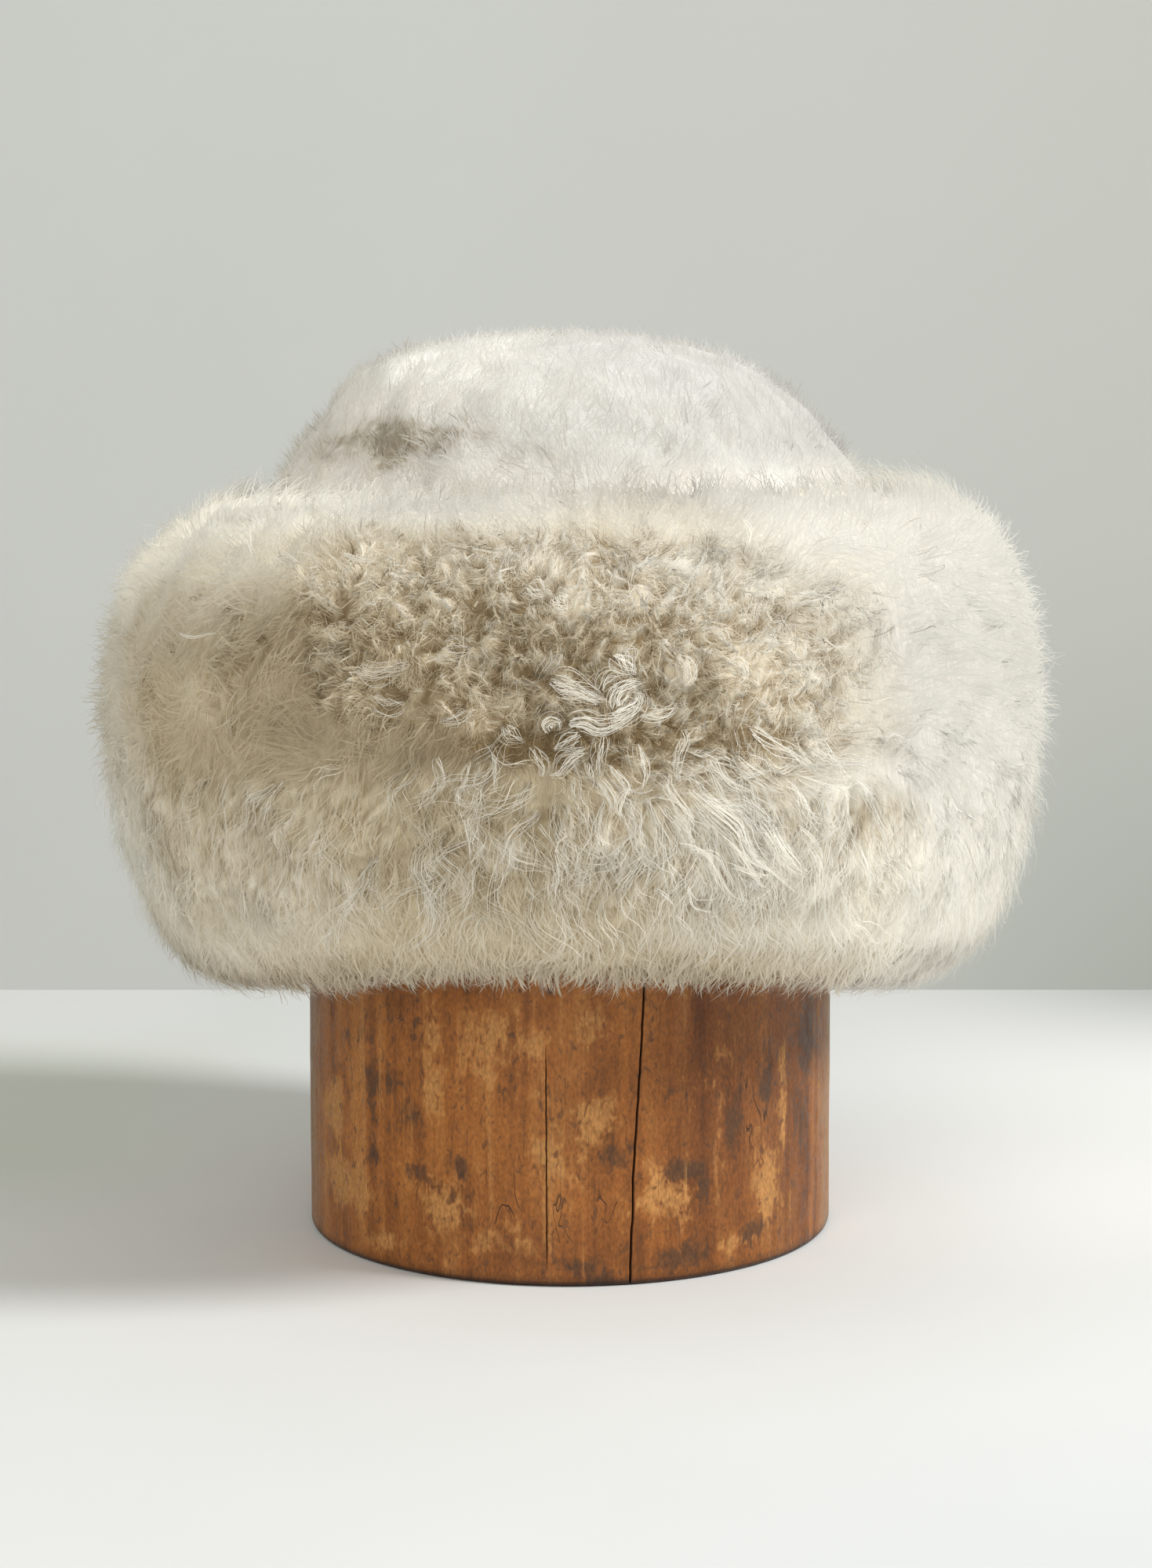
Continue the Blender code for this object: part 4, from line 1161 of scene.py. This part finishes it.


# painted shade in the hollows of the crown's dent: degrees, height in mm, half size in both, depth of shade
crownPatches = [
    (230, 247.5, 3.5, 7.5, 0.95), (236, 247, 9, 4, 0.45), (245, 253, 10, 3.5, 0.85), (223, 254, 7, 5, 0.75),
    (212, 249, 8, 6, 0.45), (220, 247, 16, 9, 0.20), (262, 247, 11, 3.5, 0.30),
]


def crownNature(angle, turn):
    # the same for the crown's wool, with how far its felt lies below the outline. Raised, white and
    # light carry painted light and shade
    x, y, z = np.moveaxis(crownPlace(angle, turn)[0], -1, 0)
    lumps = softNoise(x, y, z, 0.022, 61, 3)
    tufts = softNoise(x + 0.003 * lumps, y - 0.003 * lumps, 0.6 * z, 0.0090, 64, 2)
    dent = softPatch(angle, z, crownShape["dentAngle"], 0.250, 24, 0.010)
    hollow = np.zeros(dent.shape)
    for degrees, level, halfRound, halfHigh, shade in crownPatches:
        hollow = hollow + shade * softPatch(angle, 1000 * z, degrees, level, halfRound, halfHigh)
    hollow = np.clip(hollow * (1 + 0.25 * tufts + 0.45 * softNoise(x, y, 0.6 * z, 0.0042, 66, 2)), 0, 1)
    foot, back = smoothStep(0.250, 0.232, z), plateau(angleOff(angle, 110), 0, 75)
    # painted light and shade: less white in the hollows, at the foot, low down and at the back
    white = np.clip(0.76 + 0.05 * softNoise(x, y, z, 0.06, 5, 2) - 0.7 * hollow - 0.15 * foot
                    - 0.12 * smoothStep(0.278, 0.262, z) - 0.30 * back, 0, 1)
    # painted light: darker on the right, where the key lamp falls, lighter on the left, at the back and at
    # the foot, darker in the hollows
    light = -0.14 - 0.24 * np.cos(angle - math.radians(335.0)) * smoothStep(1.45, 0.5, turn) + 0.14 * back
    light = light + 0.020 * lumps + 0.022 * tufts
    light = light + 0.10 * bump(angleOff(angle, 222), 0, 32) * smoothStep(0.235, 0.255, z)
    light = light + 0.13 * bump(angleOff(angle, 225), 0, 30) * smoothStep(0.256, 0.266, z)
    light = light + 0.14 * softPatch(angle, z, 253, 0.242, 8, 0.005)
    light = light + foot * (0.06 + 0.26 * smoothStep(-0.6, 0.6, np.cos(angle))) - 0.10 * hollow - 0.03 * dent
    # the foot swells a bit at both sides, and the left shoulder too
    height = 0.0005 * lumps + 0.0040 * smoothStep(0.260, 0.236, z) * np.cos(angle) ** 2
    height = height + 0.0040 * softPatch(angle, z, 195, 0.273, 50, 0.010)
    raised = np.clip(0.68 + 0.03 * lumps + 0.04 * tufts - 0.66 * hollow, 0, 1)
    inset = crownFur["massInset"] * (1 - 0.75 * dent) - height
    return {"inset": inset, "raised": raised, "white": white, "hollow": hollow, "light": light}


def crownMass(s, material):
    # the felt: its outer side with the wool's tufts, and an inner side close over the hide's dome.
    # Both meet at the foot
    columns = s["massColumns"]
    turns = np.concatenate([np.linspace(0.02, 1.50, s["massRows"]), [0.5 * math.pi - 0.012]])
    angle, turn = np.meshgrid(np.arange(columns) / columns * 2 * math.pi, turns)
    nature = crownNature(angle, turn)
    outer = crownPlace(angle, turn, nature["inset"])[0]
    cling = hideForm["shoulderEase"] + hideForm["thick"] + s["underGap"]
    tall = blockWood["top"] - blockWood["shoulder"] + hideForm["seat"] + hideForm["thick"] + s["underGap"]
    under = np.linspace(turns[0], turns[-1], s["underRows"])[:, None]
    shrink, rise = domeCurve(under, blockWood["squareness"])
    level = blockWood["shoulder"] + tall * rise
    inner = ovalPoints(angle[:1], cling, level, shrink)
    points = np.concatenate([outer.reshape(-1, 3), [outer[-1].mean(axis=0)], inner.reshape(-1, 3),
                             [[0, 0, level.max()]]])
    tip = outer.shape[0] * columns
    start, end = tip + 1, len(points) - 1
    faces = [gridFaces(len(turns), columns), start + gridFaces(s["underRows"], columns)[:, ::-1],
             np.roll(joinRings(start, 0, columns), 1, axis=1), fanFaces(tip - columns, tip, columns),
             fanFaces(end - columns, end, columns)[:, [1, 0, 2]]]
    mass = addMesh("crown_matted_wool", points, faces, material)
    plain = np.full(len(points) - tip, 0.6)
    fields = nature["raised"], 0.5 + nature["light"], nature["white"]
    addColours(mass, "woolShadeAndTint", *(np.append(field, plain) for field in fields))
    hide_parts("crown_wool")
    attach(mass, "root")


def crownStrands(s, material):
    # locks lie in rows that are evenly spread along the dome's section. A strand leans away from
    # the wool's normal towards its heading and strays a little from step to step
    rng = np.random.default_rng(s["seed"])
    fineTurn = np.linspace(0.02, 0.5 * math.pi - 0.01, 300)
    spine = crownPlace(0 * fineTurn, fineTurn)[0]
    length = np.concatenate([[0], np.cumsum(np.linalg.norm(np.diff(spine, axis=0), axis=1))])
    spacing, segments = s["lockSpacing"], s["segments"]
    rows = int(length[-1] / spacing)
    level = length[-1] * (np.arange(rows) + 0.5) / rows
    girth = 2 * math.pi * 1.07 * np.interp(level, length, spine[:, 0])
    row, order = rowOrder(np.maximum(3, girth / spacing).astype(int))
    counts = np.bincount(row)
    count = len(row)
    angle = (order + rng.uniform(-0.7, 0.7, count)) / counts[row] * 2 * math.pi
    turn = np.interp(level[row] + rng.uniform(-1.0, 1.0, count) * spacing, length, fineTurn)
    nature = crownNature(angle, turn)
    point, normal, down, around = crownPlace(angle, turn, nature["inset"] + s["rootDepth"])
    comb = math.pi + 0.7 * softNoise(*point.T, 0.035, 63, 2) + 0.25 * rng.normal(size=count)
    bend = 0.5 * rng.normal(size=count)
    gather = np.clip(0.45 + 0.12 * rng.normal(size=count), 0.05, 0.8)
    tone = 0.5 + 0.045 * rng.normal(size=count) + nature["light"]
    t = np.linspace(0, 1, segments + 1)[None, :]
    layers = []
    for k in s["kinds"].values():
        who = np.repeat(np.arange(count), k["strands"])
        n = len(who)
        out, below, beside = normal[who][:, None], down[who][:, None], around[who][:, None]
        heading = comb[who][:, None] + 0.30 * rng.normal(size=(n, 1)) + bend[who][:, None] * t
        heading = heading + k["stray"] * np.cumsum(rng.normal(size=(n, segments + 1)), axis=1)
        lean = np.radians(np.clip(k["lean"] + 9 * rng.normal(size=(n, 1)), 25, 84)) + 0.12 * t
        way = (np.cos(heading) * np.sin(lean))[..., None] * below
        way = way + (np.sin(heading) * np.sin(lean))[..., None] * beside + np.cos(lean)[..., None] * out
        step = (s["length"] * rng.uniform(0.6, 1.15, n) / segments)[:, None, None]
        run = np.cumsum(0.5 * (way[:, 1:] + way[:, :-1]) * step, axis=1)
        spin, far = rng.uniform(0, 6.28, (n, 1)), np.sqrt(rng.uniform(0, 1, (n, 1))) * k["spread"] * spacing
        off = below * (far * np.cos(spin))[..., None] + beside * (far * np.sin(spin))[..., None]
        off = off * (1 - gather[who][:, None] * t)[..., None]
        path = np.concatenate([np.zeros((n, 1, 3)), run], axis=1) + point[who][:, None] + off
        face = out + k["rough"] * unit(rng.normal(size=(n, 1, 3)))
        width = k["width"] * rng.uniform(0.7, 1.3, n)
        own = tone[who] + (0.04 + 0.18 * nature["hollow"][who]) * rng.normal(size=n)
        white = nature["white"][who] + 0.04 * rng.normal(size=n)
        # painted shade: darker at the root and in the dent's hollows
        depth = nature["raised"][who][:, None] * 0.84 + 0.25 * t
        layers.append(strandLayer(who, path, face, width, 0.35, out + 0.18 * off / spacing, k["rough"],
                                  depth=depth, tone=own[:, None], white=white[:, None]))
    addStrands("crown_wool_strands", layers, material, False)
    print("crown wool made,", count, "locks")


def makeCrown(s):
    crownMass(s, woolMaterial("mattedShortWool", {**s["look"], **s["matted"]}, False))
    crownStrands(s, woolMaterial("shortWool", s["look"], True))


# the block
blockWood = {
    "shoulder": 0.2150, "top": 0.2730, "squareness": 2.38, "footRound": 0.0020,
    "columns": 230, "rowStep": 0.0020, "fineTo": 0.1120,  # rows are close together up to fineTo
    # cracks: angle from the front at each height, half width, depth, and where they fade out
    "cracks": [
        {"height": [0.0012, 0.0143, 0.0237, 0.0304, 0.0379, 0.0539, 0.0731, 0.0919, 0.1140],
         "angle": [12.4, 12.6, 13.0, 12.9, 13.2, 13.9, 14.7, 15.3, 15.9],
         "half": 0.00032, "deep": 0.0045, "low": -0.0100, "high": 0.1300},
        {"height": [0.0041, 0.0400, 0.0736], "angle": [-4.6, -4.7, -4.8],
         "half": 0.00017, "deep": 0.0022, "low": 0.0045, "high": 0.0735},
    ],
    # patches: angle from the front, height in mm, half width in degrees, half height in mm, strength
    "worn": [(-61, 45, 7, 11, 1.0), (-56, 23, 9, 11, 1.1), (-26, 23, 7, 9, 1.0), (-29, 70, 4, 22, 0.75),
             (-14, 72, 9, 15, 0.75), (5, 80, 3, 7, 0.8), (6, 50, 6, 10, 0.6), (-4, 40, 5, 8, 0.7),
             (20, 26, 7, 10, 0.8), (46, 25, 5, 12, 0.95), (38, 9, 7, 3, 0.8), (51, 45, 2, 30, 0.6),
             (59, 9, 6, 5, 0.6), (-13, 12, 9, 6, 0.6), (-42, 8, 14, 5, 0.6), (33, 52, 2, 20, 0.5),
             (110, 40, 14, 22, 0.9), (165, 60, 20, 18, 0.8), (215, 30, 15, 14, 0.9), (255, 62, 12, 20, 0.8)],
    "stain": [(-45, 57, 13, 13, 0.55), (-35, 50, 8, 8, 0.6), (-50, 68, 9, 9, 0.6), (-36, 78, 8, 10, 0.4),
              (-23, 35, 2.5, 5, 0.95), (-34, 31, 7, 5, 0.85), (-44, 34, 5, 5, 0.7), (24, 34, 6, 3.5, 1.2),
              (29, 27, 2, 6, 0.9), (23, 7, 6, 5, 1.1), (2, 6, 5, 4, 0.8), (43, 12, 6, 3.5, 0.9),
              (64, 70, 7, 16, 1.0), (24, 58, 6, 7, 0.6), (36, 47, 3, 16, 0.65), (44, 56, 4, 16, 0.6),
              (8, 39, 4, 5, 0.8), (8, 2, 9, 2.5, 0.9), (18, 82, 3, 14, 0.5), (58, 48, 5, 20, 0.6),
              (-8, 92, 9, 6, 0.4), (95, 20, 10, 12, 0.9), (140, 74, 12, 10, 0.8), (188, 24, 10, 9, 1.0),
              (236, 84, 12, 9, 0.8)],
    # painted shade: how much darker the wood is painted, most on the right, where the key lamp falls, and low
    # at the front
    "paintedShade": [(32, 55, 18, 70, 1.0), (52, 40, 14, 60, 1.0), (66, 60, 12, 60, 0.6), (3, 55, 10, 50, 0.45),
              (0, 8, 50, 20, 0.6), (130, 60, 40, 70, 0.4), (220, 60, 40, 70, 0.3)],
    "crazed": [(-13.5, 31, 4.0, 15, 1.0), (-1.5, 21, 3.4, 9, 0.9), (7.5, 22, 3.0, 11, 0.8),
               (40, 52, 9, 20, 0.7), (150, 40, 8, 12, 0.8)],
}


def blockProfile(s):
    # shrink towards the axis, step outwards and height of each row, from the foot's middle over
    # its rounded edge and up the side, then over the dome: a superellipse up to its top
    bend = np.linspace(0, 0.5 * math.pi, 6)
    radius = s["footRound"]
    rows = [(0.5, 0.0, 0.0), (0.9, 0.0, 0.0)]
    rows += [(1.0, -radius + radius * math.sin(b), radius - radius * math.cos(b)) for b in bend]
    rows += [(1.0, 0.0, z) for z in np.arange(radius + s["rowStep"], s["fineTo"], s["rowStep"])]
    rows += [(1.0, 0.0, z) for z in np.linspace(s["fineTo"], s["shoulder"], 7)]
    shrink, rise = domeCurve(np.linspace(0, 0.5 * math.pi, 16)[1:-1], s["squareness"])
    rows += [(c, 0.0, s["shoulder"] + (s["top"] - s["shoulder"]) * u) for c, u in zip(shrink, rise)]
    return np.array(rows)


def patchField(patches, degrees, height):
    # the strongest of some bell-shaped patches at each place
    total = np.zeros(degrees.shape)
    for angle, level, wide, high, strength in patches:
        here = bump(turnOff(degrees, angle), 0, wide) * bump(height * 1000, level, high)
        total = np.maximum(total, strength * here)
    return total


def crackPath(crack, height):
    # the crack's angle at each height: straight between its places, with a fine wobble
    path = np.interp(height, crack["height"], crack["angle"])
    return path + 0.035 * np.sin(height * 700) + 0.02 * np.sin(height * 1900 + 1.0)


def makeBlock(s):
    rows = blockProfile(s)
    # columns, in degrees from the front: evenly spread, and close together beside each crack
    degrees = np.arange(s["columns"]) * 360.0 / s["columns"] - 180.0
    perMetre = math.degrees(1.0 / blockPlan["halfWidth"])
    marks = []
    for crack in s["cracks"]:
        middle, half = float(np.mean(crack["angle"])), crack["half"]
        degrees = degrees[np.abs(degrees - middle) > 0.0018 * perMetre]
        away = np.array([0.0, 0.45 * half, half, 1.5 * half, 0.0009, 0.0016])
        marks.append((middle, np.unique(np.concatenate([-away, away])) * perMetre))
    degrees = np.sort(np.concatenate([degrees] + [middle + away for middle, away in marks]))
    shrink, out, height = rows[:, 0][:, None], rows[:, 1][:, None], rows[:, 2][:, None]
    moved = degrees[None, :] + 0 * height
    for crack, (middle, _) in zip(s["cracks"], marks):
        moved = moved + (crackPath(crack, height) - middle) * bump(degrees, middle, 7.0)[None, :]
    angle = np.radians(moved + 270.0)
    wave = softNoise(np.cos(angle), np.sin(angle), height / 0.09, 0.55, 71, 3)
    groove, dark = np.zeros(angle.shape), np.zeros(angle.shape)
    for crack in s["cracks"]:
        away = np.abs(moved - crackPath(crack, height)) / perMetre
        fade = smoothStep(crack["low"], crack["low"] + 0.008, height)
        fade = fade * smoothStep(crack["high"], crack["high"] - 0.012, height)
        half = crack["half"] * (0.55 + 0.45 * fade)
        groove = groove + crack["deep"] * fade * np.clip(1 - away / half, 0, 1) ** 0.6
        # painted shade inside the cracks: dark across each groove
        dark = np.maximum(dark, fade * smoothStep(1.5 * half, 0.7 * half, away))
        groove = groove - 0.00008 * fade * bump(away, 1.8 * half, half)
    side = (shrink == 1.0) * (height > 0.5 * s["footRound"])
    out = out + side * (0.00010 * wave - groove)
    foot, count, columns = len(rows) * len(degrees), len(rows), len(degrees)
    points = ovalPoints(angle, out, height, shrink).reshape(-1, 3)
    points = np.concatenate([points, [[0, 0, 0], [0, 0, s["top"]]]])
    faces = [gridFaces(count, columns), fanFaces(0, foot, columns)[:, [1, 0, 2]],
             fanFaces(foot - columns, foot + 1, columns)]
    block = addMesh("wooden_block", points, faces, woodMaterial(blockFinish))
    tall = height + 0 * angle
    worn, stain, crazed, paintedShade = (patchField(s[name], moved, tall)
                                  for name in ("worn", "stain", "crazed", "paintedShade"))
    # painted contact shadow: darker along the foot
    footShadow = smoothStep(0.0030, 0.0008, tall)
    # a greyer tan towards the left and right sides
    greySides = 0.75 * smoothStep(64, 80, np.abs(moved)) * smoothStep(108, 88, np.abs(moved))
    flat = lambda field: np.append(field, [0.0, 0.0])
    addUv(block, flat(moved / 360.0 + 0.5), flat(tall / 0.28))
    addColours(block, "woodPatches", flat(worn), flat(stain), flat(crazed))
    addColours(block, "woodShadeAndGreySides", flat(dark), flat(footShadow), flat(greySides))
    addColours(block, "woodPaintedShade", flat(paintedShade), flat(paintedShade), flat(paintedShade))
    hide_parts("hat_block")
    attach(block, "root")
    print("block made,", triangles(block), "triangles")


blockFinish = {
    "dark": (0.190, 0.063, 0.0130), "middle": (0.335, 0.116, 0.023), "light": (0.430, 0.172, 0.041),
    "worn": (0.470, 0.225, 0.070), "stain": (0.080, 0.038, 0.018), "sideGrey": (0.250, 0.180, 0.105),
    # a multiplier for the painted shade patches, and near black for painted shade in cracks and at the foot
    # and for the crazing's hairlines
    "paintedShade": (0.56, 0.53, 0.60), "crack": (0.010, 0.006, 0.004),
    "speckle": 0.22,  # how far fine specks lighten or darken it
    "roughness": 0.50, "shine": 0.30,
}


def woodMaterial(s):
    # upright grain in three widths under an old finish: stains and worn patches with ragged edges,
    # flecks, fine specks, hairline crazing, a greyer tan at the sides, patches of painted shade, a
    # painted contact shadow along the foot and painted shade inside the cracks
    kit = NodeKit("wornWood")
    figure = kit.noise(38.0, 3.0, 0.9, (1, 1, 0.10))
    streak = kit.noise(210.0, 5.0, 0.5, (1, 1, 0.045))
    pores = kit.noise(1300.0, 2.0, 0.2, (1, 1, 0.035))
    patina = kit.noise(95.0, 8.0, 0.5, (1, 1, 0.70))
    fleck = kit.noise(430.0, 5.0, 0.9, (1, 1, 0.60), (0.0, 0.0, 0.7))
    speck = kit.noise(1150.0, 4.0, 0.3, (1, 1, 0.55), (0.0, 0.0, 1.9))
    worn, stain, crazed = kit.attribute("woodPatches")
    crack, footShadow, greySides = kit.attribute("woodShadeAndGreySides")
    paintedShade = kit.attribute("woodPaintedShade")[0]
    tone = kit.weighted((figure, 0.40), (streak, 0.32), (patina, 0.30))
    colour = kit.ramp(tone, (0.40, s["dark"]), (0.52, s["middle"]), (0.66, s["light"]))
    # painted shade, multiplied in by its patches
    colour = kit.mix(kit.span(paintedShade, 0.0, 1.0), colour, kit.mix(1.0, colour, s["paintedShade"], "MULTIPLY"))
    # what breaks up the patches' edges, about 0
    ragged = kit.maths("SUBTRACT", kit.weighted((patina, 1.9), (fleck, 1.5), (streak, 0.8)), 2.1)
    wornHere = kit.span(kit.maths("ADD", worn, ragged), 0.30, 0.85, 0.0, 0.85)
    colour = kit.mix(wornHere, colour, s["worn"])
    stainHere = kit.span(kit.maths("SUBTRACT", stain, ragged), 0.30, 0.95, 0.0, 0.85)
    colour = kit.mix(stainHere, colour, s["stain"])
    colour = kit.mix(kit.span(fleck, 0.42, 0.33, 0.0, 0.55), colour, s["stain"])
    colour = kit.mix(kit.span(pores, 0.62, 0.74, 0.0, 0.40), colour, s["stain"])
    colour = kit.mix(kit.span(streak, 0.62, 0.70, 0.0, 0.40), colour, s["worn"])
    colour = kit.scaled(colour, kit.span(speck, 0.28, 0.72, 1.0 - s["speckle"], 1.0 + s["speckle"]))
    # hairlines follow the level lines of an upright noise, where another one lets them
    lines = kit.noise(105.0, 2.0, 0.8, (1, 1, 0.30), (0.0, 0.0, 2.6))
    near = kit.maths("ABSOLUTE", kit.maths("SUBTRACT", lines, 0.5))
    broken = kit.maths("MULTIPLY", kit.span(near, 0.0035, 0.0085, 1.0, 0.0), kit.span(patina, 0.44, 0.50))
    crazing = kit.maths("MULTIPLY", broken, kit.span(crazed, 0.25, 0.55))
    colour = kit.mix(kit.maths("MULTIPLY", crazing, 0.75), colour, s["crack"])
    # a greyer tan at the sides, unevenly
    sideGreyHere = kit.maths("MULTIPLY", greySides, kit.span(patina, 0.35, 0.65, 0.45, 0.90))
    colour = kit.mix(sideGreyHere, colour, s["sideGrey"])
    # painted contact shadow along the foot
    colour = kit.mix(kit.maths("MULTIPLY", footShadow, 0.85), colour, s["crack"])
    # painted shade inside the cracks
    colour = kit.mix(crack, colour, s["crack"])
    rough = kit.span(fleck, 0.3, 0.7, s["roughness"] - 0.10, s["roughness"] + 0.10)
    rough = kit.weighted((rough, 1.0), (wornHere, 0.12))
    relief = kit.weighted((streak, 0.8), (pores, -0.25), (fleck, 0.35), (crazing, -1.0))
    return kit.surface(colour, rough, s["shine"], kit.bump(relief, 0.55, 0.0004))


# the hides
hideForm = {
    # the wall, the gap between both hides, and how far the crown's is clear of the block at its
    # top, its hem and its shoulder
    "thick": 0.0020, "gap": 0.0005, "seat": 0.0004, "hemEase": 0.0060, "shoulderEase": 0.0008,
    "crownHem": 0.1000, "cuffHem": 0.1010, "cuffTop": 0.2220, "columns": 128,
    "skin": (0.50, 0.375, 0.235), "creases": (0.27, 0.185, 0.105), "nap": (0.62, 0.50, 0.34),
    "roughness": 0.88, "shine": 0.2,
}


def hideMaterial(s):
    # suede: mottled tan with a fine nap and shallow creases, painted darker as shade
    kit = NodeKit("suede")
    mottle, nap = kit.noise(55.0, 5.0, 0.4), kit.noise(1500.0, 2.0)
    crease = kit.noise(140.0, 4.0, 1.5, (1, 1, 0.5))
    colour = kit.mix(kit.span(mottle, 0.35, 0.68), s["creases"], s["skin"])
    # painted shade: darker along the creases
    colour = kit.mix(kit.span(crease, 0.40, 0.30, 0.0, 0.5), colour, s["creases"])
    colour = kit.mix(0.35, colour, kit.mix(nap, s["creases"], s["nap"]))
    relief = kit.weighted((crease, 1.0), (nap, 0.35))
    return kit.surface(colour, s["roughness"], s["shine"], kit.bump(relief, 0.6, 0.0007))


def hideWall(s, rings, name, node, material, closedTop):
    # rings of shrink, reach and height round the block's oval, joined into one closed wall
    columns, count = s["columns"], len(rings)
    angle = np.arange(columns) / columns * 2 * math.pi
    shrink, reach, height = (np.array(values)[:, None] for values in zip(*rings))
    ripple = softNoise(np.cos(angle), np.sin(angle), 0 * angle, 0.8, 90, 2)[None, :]
    ripple = 0.00016 * ripple * (height < 0.20)
    points = ovalPoints(angle, reach + ripple, height, shrink).reshape(-1, 3)
    last, end = (count - 1) * columns, count * columns
    faces = [gridFaces(count, columns)]
    if closedTop:
        points = np.concatenate([points, [[0, 0, rings[0][2]], [0, 0, rings[-1][2]]]])
        faces += [fanFaces(0, end, columns)[:, [1, 0, 2]], fanFaces(last, end + 1, columns)]
    else:
        faces.append(joinRings(last, 0, columns))
    hide = addMesh(name, points, faces, material)
    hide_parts(node)
    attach(hide, "root")


def makeHides(s):
    material = hideMaterial(s)
    thick, half = s["thick"], 0.5 * s["thick"]
    bend = np.linspace(0, math.pi, 7)
    # the crown's hide: up inside from its hem to the shoulder and over the dome, then back outside
    level = np.linspace(s["crownHem"] + half, blockWood["shoulder"], 14)
    share = (level - s["crownHem"]) / (blockWood["shoulder"] - s["crownHem"])
    ease = s["hemEase"] + (s["shoulderEase"] - s["hemEase"]) * share * share
    shrink, rise = domeCurve(np.linspace(0, 0.5 * math.pi, 18)[1:-1], blockWood["squareness"])
    walls = []
    for out in (0.0, thick):
        tall = blockWood["top"] - blockWood["shoulder"] + s["seat"] + out
        wall = [(1.0, e + out, z) for e, z in zip(ease, level)]
        dome = [(c, s["shoulderEase"] + out, blockWood["shoulder"] + tall * u) for c, u in zip(shrink, rise)]
        walls.append(wall + dome)
    hem = [(1.0, ease[0] + half - half * math.cos(b), level[0] - half * math.sin(b)) for b in bend[1:-1]]
    hideWall(s, walls[0][::-1] + hem + walls[1], "crown_suede", "crown_hide", material, True)
    # the cuff's hide: a plain band with rounded edges
    inside = s["hemEase"] + thick + s["gap"]
    middle = inside + half
    foot = [(1.0, middle - half * math.cos(b), s["cuffHem"] + half - half * math.sin(b)) for b in bend]
    top = [(1.0, middle + half * math.cos(b), s["cuffTop"] - half + half * math.sin(b)) for b in bend]
    outer = [(1.0, middle + half, z) for z in np.linspace(s["cuffHem"], s["cuffTop"], 14)[1:-1]]
    inner = [(1.0, middle - half, z) for z in np.linspace(s["cuffTop"], s["cuffHem"], 14)[1:-1]]
    hideWall(s, foot + outer + top + inner, "cuff_suede", "cuff_hide", material, False)
    print("hides made")


placeCamera(cameraSetup)
makeRoom(roomSetup)
makeLamps(lampSetup)
print("room and camera made")
makeBlock(blockWood)
makeHides(hideForm)
makeCuff(cuffFur)
makeCrown(crownFur)

total = sum(triangles(piece) for piece in bpy.data.objects if piece.type == "MESH")
print("triangles", total)
